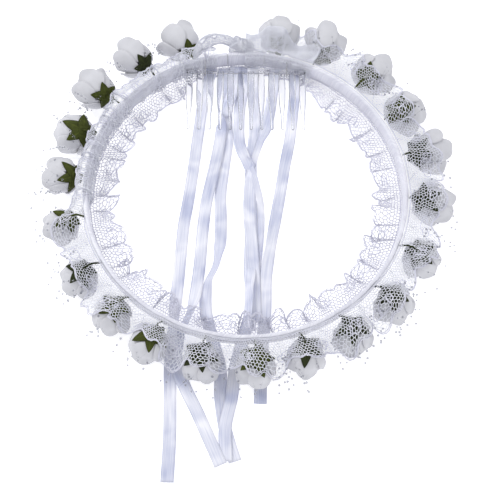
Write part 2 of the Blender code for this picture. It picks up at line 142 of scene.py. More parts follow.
def tube_faces(rows, columns):
    """The faces of a row of rings, closed at both ends."""
    first = list(range(columns))
    last = [(rows - 1) * columns + j for j in reversed(first)]
    return grid_faces(rows, columns, wrap=True) + [first, last]


def add_patch(points, faces, patch, patch_faces):
    """Add a patch to growing lists of points and faces."""
    start = len(points)
    points.extend(patch)
    faces.extend([start + k for k in face] for face in patch_faces)


def mesh_from(name, points, faces, uvs=None, smooth=True):
    """A mesh of points and faces. uvs holds one pair for each point."""
    mesh = bpy.data.meshes.new(name)
    mesh.from_pydata([tuple(point) for point in points], [], faces)
    if uvs is not None:
        layer = mesh.uv_layers.new(name="UVMap")
        corners = np.empty(len(mesh.loops), dtype=np.int32)
        mesh.loops.foreach_get("vertex_index", corners)
        layer.data.foreach_set("uv", np.asarray(uvs, np.float32)[corners].ravel())
    if smooth:
        mesh.shade_smooth()
    return mesh


def outward_faces(mesh):
    """Turn every face outwards."""
    bm = bmesh.new()
    bm.from_mesh(mesh)
    bmesh.ops.recalc_face_normals(bm, faces=bm.faces)
    bm.to_mesh(mesh)
    bm.free()
    return mesh


def smooth_path(points, step):
    """A Catmull-Rom curve through the points, read about every step metres."""
    ends = [2 * points[0] - points[1], *points, 2 * points[-1] - points[-2]]
    path = []
    for a, b, c, d in zip(ends, ends[1:], ends[2:], ends[3:]):
        pieces = max(1, round((c - b).length / step))
        for i in range(pieces):
            t = i / pieces
            path.append(0.5 * (2 * b + (c - a) * t + (2 * a - 5 * b + 4 * c - d) * t ** 2
                               + (3 * b - a - 3 * c + d) * t ** 3))
    path.append(points[-1].copy())
    return path


def along_path(path):
    """Each point of a path, with its direction and its distance from the start."""
    distance = 0.0
    for i, point in enumerate(path):
        if i:
            distance += (point - path[i - 1]).length
        ahead = path[min(i + 1, len(path) - 1)] - path[max(i - 1, 0)]
        yield point, ahead.normalized(), distance


def ease(value):
    """0 to 1 with a gentle start and end."""
    value = min(1.0, max(0.0, value))
    return value * value * (3 - 2 * value)


def settle(piece):
    """Apply a piece's modifiers, so its mesh is what is seen."""
    graph = bpy.context.evaluated_depsgraph_get()
    made = bpy.data.meshes.new_from_object(piece.evaluated_get(graph))
    piece.modifiers.clear()
    piece.data = made
    return piece


def thicken(piece, thickness, offset=0.0):
    """Give a sheet its thickness."""
    wall = piece.modifiers.new("wall", "SOLIDIFY")
    wall.thickness = thickness
    wall.offset = offset


def enter(piece, node=None, body="crown"):
    """Enter a piece in the frame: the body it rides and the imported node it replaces."""
    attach(piece, body)
    if node:
        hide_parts(node)


# %% Node helpers
def feed(tree, node, at=(), **inputs):
    """Give a node its inputs, by name or as (index, value) pairs. A value may be a socket."""
    sockets = [(node.inputs[key.replace("_", " ")], value) for key, value in inputs.items()]
    sockets += [(node.inputs[index], value) for index, value in at]
    for socket, value in sockets:
        if isinstance(value, bpy.types.NodeSocket):
            tree.links.new(value, socket)
        else:
            socket.default_value = value
    return node


def place(tree, kind, settings=None, at=(), **inputs):
    """Add a node. settings are its own options, the rest is fed to it."""
    made = tree.nodes.new(kind)
    for key, value in (settings or {}).items():
        setattr(made, key, value)
    return feed(tree, made, at, **inputs)


def new_group(name, kind, inputs, outputs):
    group = bpy.data.node_groups.new(name, kind)
    for label, socket_type, default in inputs:
        socket = group.interface.new_socket(label, in_out="INPUT", socket_type=socket_type)
        if default is not None:
            socket.default_value = default
    for label, socket_type in outputs:
        group.interface.new_socket(label, in_out="OUTPUT", socket_type=socket_type)
    return group, group.nodes.new("NodeGroupInput"), group.nodes.new("NodeGroupOutput")


def new_material(name):
    made = bpy.data.materials.new(name)
    made.use_nodes = True
    return made, made.node_tree, made.node_tree.nodes["Principled BSDF"]


def blend(tree, factor, dark, light):
    """A mix of two colours."""
    mixed = place(tree, "ShaderNodeMix", {"data_type": "RGBA"},
                  ((0, factor), (6, (*dark, 1)), (7, (*light, 1))))
    return mixed.outputs[2]


def relief(tree, effect, strength, distance):
    """A surface's normal, raised by an effect's height."""
    bump = place(tree, "ShaderNodeBump", Strength=strength, Distance=distance,
                 Height=effect.outputs["Height"])
    return bump.outputs["Normal"]


# %% [markdown]
# ## Finishes
#
# Two effects are shared, so each is a node group built once. *Satin threads* draws the long floats
# of satin from the piece's UV map, which runs along the ribbon in metres. *Soft mottle* gives a
# slight unevenness in tone and a fine relief to anything matt, from Object coordinates.

# %% Shared effects
def satin_group():
    group, given, out = new_group(
        "satin threads", "ShaderNodeTree",
        [("Thread Scale", "NodeSocketFloat", 1500.0), ("Streak Length", "NodeSocketFloat", 0.03),
         ("Unevenness", "NodeSocketFloat", 0.62)],
        [("Tone", "NodeSocketFloat"), ("Height", "NodeSocketFloat")])
    uv = place(group, "ShaderNodeTexCoord").outputs["UV"]
    parts = place(group, "ShaderNodeSeparateXYZ", Vector=uv)
    along = place(group, "ShaderNodeMath", {"operation": "MULTIPLY"},
                  ((0, parts.outputs["Y"]), (1, given.outputs["Streak Length"])))
    stretched = place(group, "ShaderNodeCombineXYZ", X=parts.outputs["X"], Y=along.outputs[0])
    floats = place(group, "ShaderNodeTexNoise", Vector=stretched.outputs[0], Detail=3.0,
                   Scale=given.outputs["Thread Scale"])
    folds = place(group, "ShaderNodeTexNoise", Vector=uv, Scale=62.0, Detail=1.0, Distortion=0.6)
    mixed = place(group, "ShaderNodeMix", {"data_type": "FLOAT"},
                  ((2, floats.outputs["Fac"]), (3, folds.outputs["Fac"])),
                  Factor=given.outputs["Unevenness"])
    spread = place(group, "ShaderNodeMapRange", Value=mixed.outputs[0], From_Min=0.33,
                   From_Max=0.66)
    feed(group, out, Tone=spread.outputs["Result"], Height=floats.outputs["Fac"])
    return group


def mottle_group():
    group, given, out = new_group(
        "soft mottle", "ShaderNodeTree",
        [("Patch Scale", "NodeSocketFloat", 120.0), ("Grain Scale", "NodeSocketFloat", 2500.0)],
        [("Tone", "NodeSocketFloat"), ("Height", "NodeSocketFloat")])
    place_in = place(group, "ShaderNodeTexCoord").outputs["Object"]
    patches = place(group, "ShaderNodeTexNoise", Vector=place_in, Detail=2.0,
                    Scale=given.outputs["Patch Scale"])
    grain = place(group, "ShaderNodeTexNoise", Vector=place_in, Detail=4.0,
                  Scale=given.outputs["Grain Scale"])
    feed(group, out, Tone=patches.outputs["Fac"], Height=grain.outputs["Fac"])
    return group


SATIN = satin_group()
MOTTLE = mottle_group()
print("shared effects:", SATIN.name, "and", MOTTLE.name)


# %% Materials
def textured(name, group, dark, light, roughness, raised, distance, values=None, **inputs):
    """A Principled material whose colour and relief come from one of the shared effects."""
    made, tree, shader = new_material(name)
    effect = place(tree, "ShaderNodeGroup", {"node_tree": group}, **(values or {}))
    feed(tree, shader, Base_Color=blend(tree, effect.outputs["Tone"], dark, light),
         Normal=relief(tree, effect, raised, distance), Roughness=roughness, **inputs)
    return made


ribbon_satin = textured("ribbon satin", SATIN, (0.46, 0.49, 0.66), (0.88, 0.88, 0.94), 0.32,
                        0.25, 0.0002, Anisotropic=0.5, Sheen_Weight=0.2)
band_satin = textured("band satin", SATIN, (0.62, 0.62, 0.71), (0.84, 0.84, 0.90), 0.30, 0.25,
                      0.0002, {"Unevenness": 0.35}, Anisotropic=0.4, Sheen_Weight=0.15)
foam = textured("petal foam", MOTTLE, (0.53, 0.53, 0.56), (0.66, 0.66, 0.70), 0.75, 0.12, 0.0003,
                Subsurface_Weight=0.15, Subsurface_Radius=(0.003, 0.003, 0.003))
net_thread = textured("lace thread", MOTTLE, (0.76, 0.77, 0.86), (0.90, 0.91, 0.96), 0.8,
                      0.3, 0.0001)
shaded_thread = textured("shaded lace thread", MOTTLE, (0.50, 0.50, 0.60), (0.68, 0.68, 0.77),
                         0.8, 0.3, 0.0001)
bold_thread = textured("lace outline thread", MOTTLE, (0.60, 0.60, 0.71), (0.80, 0.80, 0.89),
                       0.75, 0.3, 0.0001)
tie_thread = textured("tie thread", MOTTLE, (0.30, 0.30, 0.33), (0.48, 0.48, 0.52), 0.7,
                      0.3, 0.0002)
hoop_plastic = textured("hoop plastic", MOTTLE, (0.60, 0.60, 0.60), (0.72, 0.72, 0.72), 0.5,
                        0.1, 0.0002)
print("made the satin, foam, lace and thread finishes")


# %% Calyx cloth
def make_calyx_cloth(name, dark, light):
    """Green cloth: a pale vein down the middle of each sepal, and darker towards its edge."""
    made, tree, shader = new_material(name)
    uv = place(tree, "ShaderNodeTexCoord").outputs["UV"]
    parts = place(tree, "ShaderNodeSeparateXYZ", Vector=uv)
    effect = place(tree, "ShaderNodeGroup", {"node_tree": MOTTLE}, Patch_Scale=450.0,
                   Grain_Scale=3500.0)
    ramp = place(tree, "ShaderNodeValToRGB", Fac=parts.outputs["X"])
    stops = ramp.color_ramp.elements
    stops[0].color = (1.5, 1.5, 1.4, 1)
    stops[1].color = (0.45, 0.45, 0.40, 1)
    for position, grey in ((0.12, 0.95), (0.75, 1.0)):
        stops.new(position).color = (grey, grey, grey, 1)
    cloth = blend(tree, effect.outputs["Tone"], dark, light)
    tint = place(tree, "ShaderNodeMix", {"data_type": "RGBA", "blend_type": "MULTIPLY"},
                 ((0, 1.0), (6, cloth), (7, ramp.outputs["Color"])))
    feed(tree, shader, Base_Color=tint.outputs[2], Normal=relief(tree, effect, 0.4, 0.0003),
         Roughness=0.75, Specular_IOR_Level=0.2)
    return made


# painted shade: the grey that clear plastic is given where it is seen edge on
PAINTED_EDGE_SHADE = (0.42, 0.43, 0.46)


def make_clear(name, tint, roughness, bend=1.49):
    """Clear plastic, faintly uneven where it was moulded, greyer where it is seen edge on: painted
    shade.
    """
    made, tree, shader = new_material(name)
    effect = place(tree, "ShaderNodeGroup", {"node_tree": MOTTLE}, Patch_Scale=90.0,
                   Grain_Scale=400.0)
    edge = place(tree, "ShaderNodeLayerWeight", Blend=0.60)
    feed(tree, shader, Base_Color=blend(tree, edge.outputs["Facing"], tint, PAINTED_EDGE_SHADE),
         Normal=relief(tree, effect, 0.05, 0.0004), Roughness=roughness,
         Transmission_Weight=1.0, IOR=bend)
    return made


# the second, darker copy of the calyx cloth is painted shade
calyx_cloth = make_calyx_cloth("calyx cloth", (0.019, 0.023, 0.004), (0.076, 0.093, 0.013))
shaded_calyx_cloth = make_calyx_cloth("dark calyx cloth", (0.008, 0.011, 0.003),
                                    (0.034, 0.044, 0.011))
clear_plastic = make_clear("clear plastic", (0.96, 0.96, 0.97), 0.03, 1.24)
bead_plastic = make_clear("bead plastic", (0.56, 0.57, 0.61), 0.12)
filament = make_clear("clear filament", (0.95, 0.95, 0.98), 0.10, 1.15)
print("made the calyx cloth and the clear plastics")

# %% [markdown]
# ## Ribbon tails
#
# Seven satin ribbons 6.5 mm wide are tied to the back of the hoop and lie forward through the ring,
# some turning over on the way. Each one is a limp cord with a flat section: a listed route, and an
# angle of roll along it. Where a ribbon turns over it stands on its edge, so its middle
# rises by as much as its edge needs.

# %% Routes of the ribbon tails
RIBBON_WIDTH = 0.0065
RIBBON_THICKNESS = 0.00022
# each tail's height where it lies flat, and its route: (x, y) there, (x, y, z) elsewhere, in mm
RIBBON_ROUTES = {
    "ribbon_tail_1": (0.4, [
        (-20, 82.4, 6.6), (-22, 75, 5.8), (-24, 67, 4.7), (-25.5, 58, 2.8), (-26.5, 49, 1.0),
        (-28, 36), (-29.5, 20), (-32, -2), (-34, -17), (-35, -33), (-36, -50), (-37.5, -72),
        (-38.5, -94), (-38, -115), (-37.5, -135), (-38, -156)]),
    "ribbon_tail_2": (1.6, [
        (-6, 84.6, 7.6), (-6.5, 76, 6.6), (-8, 67, 5.4), (-11, 58, 3.8), (-13.5, 50, 2.2),
        (-14.5, 40), (-17, 23), (-20, 7), (-22, -5), (-23.5, -21), (-25, -45), (-28, -66),
        (-34, -82), (-35.5, -94), (-31.5, -107), (-24, -122), (-17.5, -136), (-12, -148)]),
    "ribbon_tail_3": (0.4, [
        (-13, 83.6, 6.7), (-12.5, 76, 5.8), (-12, 67, 4.6), (-11.5, 58, 2.8), (-11, 50, 1.0),
        (-10.5, 36), (-12.5, 18), (-14, 2), (-13.5, -15), (-14, -30), (-16, -42), (-20, -52),
        (-21, -66), (-17.5, -82), (-13, -98), (-12.5, -114), (-10, -130), (-5, -146)]),
    "ribbon_tail_4": (0.4, [
        (0, 84.6, 6.8), (-1, 76, 5.8), (-2, 67, 4.6), (-3.5, 58, 2.8), (-4, 48, 0.8), (-3.5, 36),
        (0, 24), (4.5, 10), (7, -5), (7, -20), (5.5, -38), (4, -58), (2, -78)]),
    "ribbon_tail_5": (1.0, [
        (4, 84.4, 7.6), (4, 76, 6.6), (4.5, 67, 5.2), (5, 58, 3.0), (5, 48, 1.1), (4.5, 36),
        (3, 20), (3, 2), (3, -15), (2.5, -34), (2, -54), (0.5, -76), (-5, -97), (-7, -114),
        (-10, -129), (-9.5, -146)]),
    "ribbon_tail_6": (1.6, [
        (18, 82.8, 7.0), (17, 76, 6.2), (15.5, 67, 5.0), (14, 56, 3.0), (11.5, 45), (8, 34),
        (4.5, 22), (2.5, 8), (2, -10), (3.5, -30), (4.5, -50), (5, -74)]),
    "ribbon_tail_7": (0.4, [
        (30, 79.3, 6.6), (29.5, 74, 5.8), (28.5, 66, 4.7), (27.5, 57, 2.6), (26.5, 47, 0.7),
        (25, 36), (22, 20), (19.5, 4), (16.5, -13, 0.5), (13.5, -31, 1.0), (11, -48, 1.0),
        (10.5, -65, 0.8), (9, -84), (8, -100), (7.5, -117)]),
}
# where each tail turns over: distance from the back in mm, and the degrees it turns there
RIBBON_TURNS = {
    "ribbon_tail_1": [(150, 30), (172, -30)],
    "ribbon_tail_2": [(36, -180), (150, 50), (172, -50)],
    "ribbon_tail_3": [(116, 50), (142, -50)],
    "ribbon_tail_4": [(58, 45), (88, -45)],
    "ribbon_tail_5": [(64, -180), (134, 50), (160, -50)],
    "ribbon_tail_6": [(44, 45), (70, -45)],
    "ribbon_tail_7": [(100, -25), (120, 25)],
}
TURN_LENGTH = 0.015
RIBBON_CUP = 0.00022
RIBBON_COLUMNS = 7

# %% Make the ribbon tails
def roll_at(distance, turns):
    """The roll of a ribbon at a distance along it, in radians."""
    return radians(sum(degrees * ease((distance - middle / 1000) / TURN_LENGTH + 0.5)
                       for middle, degrees in turns))


def ribbon_mesh(name, path, turns, seed):
    """A ribbon with its width rolled about its path. Returns the mesh and its centreline."""
    points, uvs, centre = [], [], []
    for point, tangent, distance in along_path(path):
        side = tangent.cross(UP).normalized()
        roll = roll_at(distance, turns)
        across = side * cos(roll) + tangent.cross(side) * sin(roll)
        normal = tangent.cross(across)
        middle = point + UP * abs(sin(roll)) * RIBBON_WIDTH / 2
        centre.append(middle)
        sway = noise.noise(Vector((distance * 60, seed * 7.3, 0)))
        for j in range(RIBBON_COLUMNS):
            share = j / (RIBBON_COLUMNS - 1) * 2 - 1
            cup = RIBBON_CUP * (1 - share * share) * (1 + sway)
            points.append(middle + across * share * RIBBON_WIDTH / 2 + normal * cup)
            uvs.append((share * RIBBON_WIDTH / 2 + 0.31 * seed, distance + 0.17 * seed))
    faces = grid_faces(len(path), RIBBON_COLUMNS)
    return mesh_from(name, points, faces, uvs), centre, distance


def make_ribbon(node, seed):
    lie, route = RIBBON_ROUTES[node]
    path = smooth_path([Vector((*point, lie)[:3]) / 1000 for point in route], 0.0015)
    mesh, centre, length = ribbon_mesh(node + "_satin", path, RIBBON_TURNS[node], seed)
    ribbon = new_piece(node + "_satin", mesh, ribbon_satin)
    thicken(ribbon, RIBBON_THICKNESS)
    settle(ribbon)
    enter(ribbon, node)
    print(node, "is", round(length * 1000), "mm long")


for seed, node in enumerate(RIBBON_ROUTES):
    make_ribbon(node, seed)

# %% [markdown]
# ## Floor and light
#
# The crown lies on a plain white table under soft light from all round, so its shadows are faint.
# A large lamp from the upper left gives the foam and the satin their form, and a weaker one from
# the right fills in.

# %% Floor and light
FLOOR_HALF = 1.5
FLOOR_LEVEL = -0.0006


def make_stage():
    corners = [(x * FLOOR_HALF, y * FLOOR_HALF, FLOOR_LEVEL)
               for x, y in ((-1, -1), (1, -1), (1, 1), (-1, 1))]
    finish, tree, shader = new_material("white table")
    feed(tree, shader, Base_Color=(0.80, 0.80, 0.82, 1), Roughness=0.9,
         Emission_Color=(1, 1, 1, 1), Emission_Strength=0.55)
    top = mesh_from("white_table", corners, [[0, 1, 2, 3]])
    new_piece("white_table", top, finish)

    world = bpy.data.worlds.new("studio")
    world.use_nodes = True
    tree = world.node_tree
    seen = place(tree, "ShaderNodeLightPath").outputs["Is Camera Ray"]
    strength = place(tree, "ShaderNodeMix", {"data_type": "FLOAT"}, ((2, 0.80), (3, 1.05)),
                     Factor=seen)
    feed(tree, tree.nodes["Background"], Color=(0.97, 0.98, 1.0, 1), Strength=strength.outputs[0])
    bpy.context.scene.world = world
    bpy.context.scene.view_settings.view_transform = "Standard"


def make_lamp(name, place_at, size, watts):
    lamp = bpy.data.lights.new(name, "AREA")
    lamp.size = size
    lamp.energy = watts
    made = link(bpy.data.objects.new(name, lamp))
    made.location = place_at
    made.rotation_euler = (-Vector(place_at)).to_track_quat("-Z", "Y").to_euler()


make_stage()
make_lamp("key", (-0.7, 0.5, 1.1), 0.6, 7.0)
make_lamp("fill", (0.9, -0.6, 0.9), 0.8, 2.2)
print("stage and lamps are in place")

# %% [markdown]
# ## Satin band
#
# Satin ribbon is wound tightly round the plastic strip, so the band is a rounded oblong in section
# with a slight ridge where each turn overlaps the one before. The section is a superellipse swept
# round the hoop, and the ridge is a saw-tooth that climbs round the section as it goes.

# %% Make the band
HOOP_RADIUS = 0.0870
WRAP_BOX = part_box("satin_wrap")
BAND_BASE, BAND_TOP = WRAP_BOX[0][2], WRAP_BOX[1][2]
BAND_HALF_HEIGHT = (BAND_TOP - BAND_BASE) / 2
BAND_HALF_WIDTH = 0.0013
BAND_OUTER = HOOP_RADIUS + BAND_HALF_WIDTH
WIND_PITCH = 0.014
WIND_RIDGE = 0.00016
SECTION_POINTS = 32
STEPS_ROUND = 900
BAND_CORNER = 0.42


def boxier(value):
    """A sine or cosine bent so that a circle becomes a rounded oblong."""
    return abs(value) ** BAND_CORNER * (1 if value >= 0 else -1)


def band_point(bearing, turn, grow, pitch):
    """A point of the wound band: turn runs round the section from 0 to 1."""
    flat, tall = boxier(cos(2 * pi * turn)), boxier(sin(2 * pi * turn))
    arc = radians(bearing) * HOOP_RADIUS
    step = (arc / pitch + turn) % 1.0
    ridge = WIND_RIDGE * (step ** 3 - 0.25)
    half_width = BAND_HALF_WIDTH + grow + ridge
    radius = HOOP_RADIUS + half_width * flat
    height = (BAND_BASE + BAND_TOP) / 2 + (BAND_HALF_HEIGHT + grow + ridge) * tall
    return polar(radius, bearing, height)


def band_mesh(name, start, end, grow=0.0, pitch=WIND_PITCH):
    steps = round((end - start) / 360 * STEPS_ROUND)
    points, uvs = [], []
    for i in range(steps + 1):
        bearing = start + (end - start) * i / steps
        for j in range(SECTION_POINTS):
            turn = j / SECTION_POINTS
            points.append(band_point(bearing, turn, grow, pitch))
            along = radians(bearing) * HOOP_RADIUS
            uvs.append((along - turn * pitch, turn * 0.022 + along * 0.4))
    return outward_faces(mesh_from(name, points, tube_faces(steps + 1, SECTION_POINTS), uvs))


def make_band():
    for node, start, end, grow, pitch in (("satin_wrap", 97.3, 442.7, 0.0, WIND_PITCH),
                                          ("satin_back_sleeve", 83.0, 97.0, 0.0001, 0.006)):
        name = node + "_cloth"
        band = new_piece(name, band_mesh(name, start, end, grow, pitch), band_satin)
        enter(band, node)
        print(name, "has", len(band.data.polygons), "faces")
    core = frame["nodes"]["hoop_core"].data.materials
    core.clear()
    core.append(hoop_plastic)


make_band()

# %% [markdown]
# ## Roses
#
# Each rose is cut from sheet foam: round petals nearly a millimetre thick, wrapped in rings round
# a rolled bud. A petal is a disc laid on the rose's swelling side, with one edge tucked under the
# next petal and its lip turned out a little. It is thickened and softened by a subdivision. Every
# rose gets its own draw of petal sizes and turns. The roses at the back lie outwards, and those at
# the front have been turned to face down, so their calyxes are seen.

# %% Where the roses are
# bearing of the seat, droop of the rose's axis and bearing that the axis points to, in degrees
ROSE_PLACES = [
    (12.5, 40, 36), (28.5, 55, 46), (45.5, 45, 62), (64, 25, 73), (78.5, 30, 84), (110.5, 20, 121),
    (126.5, 22, 134), (144, 30, 132), (160.5, 55, 145), (177, 35, 160), (193, 60, 185),
    (212, 75, 190), (228, 78, 200), (242, 78, 215), (257, 85, 257), (273, 85, 273),
    (287.5, 82, 290), (302, 80, 310), (318, 76, 330), (336, 72, 10), (355, 58, 20),
]
ROSE_NUMBERS = range(1, len(ROSE_PLACES) + 1)
ROSE_RADIUS = 0.0102
ROSE_LENGTH = 0.0170
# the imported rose's section: share of its length, share of its radius
ROSE_SEAT = 0.34            # radius of the rose's flat back, as a share
ROSE_SECTION = [(0.00, ROSE_SEAT), (0.12, 0.70), (0.30, 0.93), (0.54, 1.00), (0.80, 0.92),
                (1.00, 0.62)]


def rose_frame(number):
    """The seat of a rose, its turned axes and its aim, from the middle of its packed box."""
    _, droop, heading = ROSE_PLACES[number - 1]
    aim = polar(cos(radians(droop)), heading, -sin(radians(droop)))
    low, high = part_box(f"rose_{number:02d}")
    seat = Vector()
    for axis in range(3):
        along, across = aim[axis] * ROSE_LENGTH, sqrt(1 - aim[axis] ** 2) * ROSE_RADIUS
        ends = [height * along + side * share * across
                for height, share in ROSE_SECTION for side in (-1, 1)]
        seat[axis] = (low[axis] + high[axis] - min(ends) - max(ends)) / 2
    return seat, aim.to_track_quat("Z", "Y").to_matrix(), aim


# %% Petals
WIDEST_AT = 0.55            # share of the rose's length
PETAL_WALL = 0.0009
FOAM_REST = 0.0003          # the foam is pressed flat where it rests on the table
PETAL_GRID = 9
# petals, share of the radius, middle of the petal and half its length as shares of the rose's
# length, half its width in degrees, turn-out of the lip in metres
PETAL_RINGS = [
    (5, 1.00, 0.49, 0.51, 47, 0.0030),
    (4, 0.88, 0.54, 0.48, 52, 0.0019),
    (4, 0.70, 0.58, 0.45, 54, 0.0008),
    (3, 0.47, 0.62, 0.42, 66, -0.0002),
]
# by number, as a share of the usual: the front roses are smaller, those at the back more open
ROSE_SIZES = {10: 0.90, 11: 0.80, 12: 0.85, 13: 0.84, 14: 0.86, 15: 0.87, 16: 0.90, 17: 0.85,
              18: 0.86, 19: 0.88, 20: 0.88}
OPEN_ROSES = {1: 1.25, 2: 1.1, 3: 1.35, 4: 1.45, 5: 1.2, 6: 1.0, 8: 1.0}


def side_radius(height):
    """The radius of the open rose's side at a share of its length."""
    swell = sin(min(1.0, max(0.0, height) / WIDEST_AT) * pi / 2) ** 0.8
    return ROSE_RADIUS * (ROSE_SEAT + (1 - ROSE_SEAT) * swell)


def petal_patch(ring, bearing, flare, draw):
    """The points of one petal on the rose's own axis."""
    _, share, middle, half, width, lip = ring
    width = radians(width) * draw.uniform(0.92, 1.08)
    half = half * draw.uniform(0.93, 1.05)
    lip = lip * flare * draw.uniform(0.4, 1.3)
    tuck = draw.uniform(0.0007, 0.0014)
    ripple, start = draw.uniform(0.0002, 0.0007), draw.uniform(0, 6)
    points = []
    for i in range(PETAL_GRID):
        b = i / (PETAL_GRID - 1) * 2 - 1
        for j in range(PETAL_GRID):
            a = j / (PETAL_GRID - 1) * 2 - 1
            x, y = a * sqrt(1 - b * b / 2), b * sqrt(1 - a * a / 2)
            height = middle + half * y
            radius = side_radius(height) * share + tuck * (x - 0.6)
            radius += lip * max(0.0, (y - 0.15) / 0.85) ** 2.2
            radius += ripple * sin(3 * x + start) * max(0.0, y + 0.3)
            radius += ripple * sin(8 * x - start) * max(0.0, y) ** 2
            height += 0.035 * sin(6 * x + 2 * start) * max(0.0, y) ** 2
            angle = bearing + x * width * (1 + 0.25 * max(0.0, -y))
            points.append(Vector((radius * cos(angle), radius * sin(angle), height * ROSE_LENGTH)))
    return points, grid_faces(PETAL_GRID, PETAL_GRID)


def bud_patch(draw):
    """The rolled heart of the rose: a strip wound up in a loose spiral."""
    turns, columns, rows = 1.6, 30, 5
    start = draw.uniform(0, 360)
    points = []
    for i in range(rows):
        v = i / (rows - 1)
        for j in range(columns):
            u = j / (columns - 1)
            radius = (0.0006 + 0.0024 * u) * (1 - 0.25 * v)
            points.append(polar(radius, start + 360 * turns * u, ROSE_LENGTH * (0.35 + 0.60 * v)))
    return points, grid_faces(rows, columns)


def rose_mesh(name, seat, turn, flare, size, seed):
    draw = np.random.default_rng(seed)
    patches = []
    for ring in PETAL_RINGS:
        first = draw.uniform(0, 2 * pi)
        for k in range(ring[0]):
            middle = first + 2 * pi * k / ring[0] + draw.uniform(-0.12, 0.12)
            patches.append(petal_patch(ring, middle, flare, draw))
    patches.append(bud_patch(draw))
    points, faces = [], []
    for patch, quads in patches:
        add_patch(points, faces, (seat + turn @ (point * size) for point in patch), quads)
    return mesh_from(name, points, faces)


def make_roses():
    total = 0
    for number in ROSE_NUMBERS:
        seat, turn, _ = rose_frame(number)
        node = f"rose_{number:02d}"
        petals = rose_mesh(node, seat, turn, OPEN_ROSES.get(number, 0.75),
                           ROSE_SIZES.get(number, 1.0), 100 + number)
        rose = new_piece(node + "_petals", petals, foam)
        thicken(rose, PETAL_WALL, -1.0)
        soft = rose.modifiers.new("soft", "SUBSURF")
        soft.levels = soft.render_levels = 1
        settle(rose)
        for vertex in rose.data.vertices:
            vertex.co.z = max(vertex.co.z, FOAM_REST)
        rose.data.shade_smooth()
        enter(rose, node)
        total += len(rose.data.polygons)
    print("21 roses of", total, "faces")


make_roses()

# %% [markdown]
# ## Calyxes
#
# Behind each rose sits a star of five cloth sepals, stamped from stiffened green cloth and pushed
# up the wire stem. A sepal is a broad pointed leaf that lies on the foam, with its tip lifting off.
# The UV map holds 0 on a sepal's middle vein and 1 on its edge, and the material reads it.

# %% Make the calyxes
SEPALS = 5
SEPAL_LENGTH = 0.0105
SEPAL_HALF_WIDTH = 0.0036
# these calyxes take a darker copy of the calyx cloth: painted shade
SHADED_CALYXES = (1, 7, 12, 15, 17, 18, 19, 20, 21)
SHORT_SEPALS = {1: 0.8, 2: 0.75, 3: 0.75, 4: 0.7, 5: 0.6, 6: 0.55, 7: 0.6, 8: 0.65,
                20: 0.85, 21: 0.8}
# the cup under the sepals: (radius, height) of its rings, and their sides
CUP_RINGS = ((0.0005, -0.0019), (0.0016, -0.0016), (0.0024, -0.0010))
CUP_SIDES = 20
CALYX_WALL = 0.0004
STEM_RADIUS = 0.0005


def base_line(travel):
    """The (radius, height) reached by going out from the seat's middle over the foam."""
    disc = ROSE_SEAT * ROSE_RADIUS
    if travel < disc:
        return travel, -0.0007 - 0.0006 * (1 - travel / disc)
    share = (travel - disc) / (0.80 * ROSE_LENGTH)
    return side_radius(share * 0.62) + 0.0007, share * 0.62 * ROSE_LENGTH - 0.0007


def sepal_patch(bearing, long, draw):
    """One sepal from the seat to its tip, on the rose's own axis."""
    rows, columns = 11, 5
    lift = draw.uniform(0.0002, 0.0016)
    outward = polar(1, bearing)
    sideways = polar(1, bearing + 90)
    points, uvs = [], []
    for i in range(rows):
        t = i / (rows - 1)
        radius, height = base_line(0.0006 + (long - 0.0006) * t)
        radius += 0.6 * lift * t ** 3
        height -= 0.8 * lift * t ** 3
        width = SEPAL_HALF_WIDTH * (0.55 + 0.45 * t / 0.28 if t < 0.28
                                    else (1 - (t - 0.28) / 0.72) ** 0.92 + 0.02)
        for j in range(columns):
            u = j / (columns - 1) * 2 - 1
            wrap = 0.5 * (width * u) ** 2 / max(radius, 0.003)
            crease = Vector((0, 0, -0.0003 * (1 - abs(u)) * sin(pi * t)))
            points.append(outward * (radius - wrap) + sideways * (width * u)
                          + Vector((0, 0, height)) + crease)
            uvs.append((abs(u), t))
    return points, grid_faces(rows, columns), uvs


def calyx_mesh(name, seat, turn, size, long, seed):
    draw = np.random.default_rng(seed)
    points, faces, uvs = [], [], []
    first = draw.uniform(0, 360)
    for k in range(SEPALS):
        patch, quads, flat = sepal_patch(first + 360 * k / SEPALS + draw.uniform(-6, 6),
                                         SEPAL_LENGTH * long * draw.uniform(0.82, 1.12), draw)
        add_patch(points, faces, (seat + turn @ (point * size) for point in patch), quads)
        uvs.extend(flat)
    cup = []
    for i, (radius, height) in enumerate(CUP_RINGS):
        cup.extend(seat + turn @ polar(radius, 360 * j / CUP_SIDES, height)
                   for j in range(CUP_SIDES))
        uvs.extend([(0.5, i / 2)] * CUP_SIDES)
    add_patch(points, faces, cup, grid_faces(len(CUP_RINGS), CUP_SIDES, wrap=True))
    return mesh_from(name, points, faces, uvs)


def tube(name, path, radius, sides):
    """A closed tube of fixed radius along a path."""
    points, uvs = [], []
    for point, tangent, distance in along_path(path):
        side = tangent.cross(UP if abs(tangent.z) < 0.95 else Vector((1, 0, 0))).normalized()
        other = tangent.cross(side)
        for j in range(sides):
            angle = 2 * pi * j / sides
            points.append(point + (side * cos(angle) + other * sin(angle)) * radius)
            uvs.append((j / sides, distance))
    return outward_faces(mesh_from(name, points, tube_faces(len(path), sides), uvs))


def stem_path(number, seat, aim):
    """The wire stem, from under the calyx, over its edge where the rose faces down, to the band."""
    bearing, droop, _ = ROSE_PLACES[number - 1]
    root = seat - aim * 0.0008
    neck = root - aim * 0.0012
    end = polar(BAND_OUTER + STEM_RADIUS * 0.6, bearing, BAND_TOP - 0.0005)
    arch = (neck + end) / 2 + UP * 0.0028 * sin(radians(droop))
    return smooth_path([root, neck, arch, end], 0.0010)


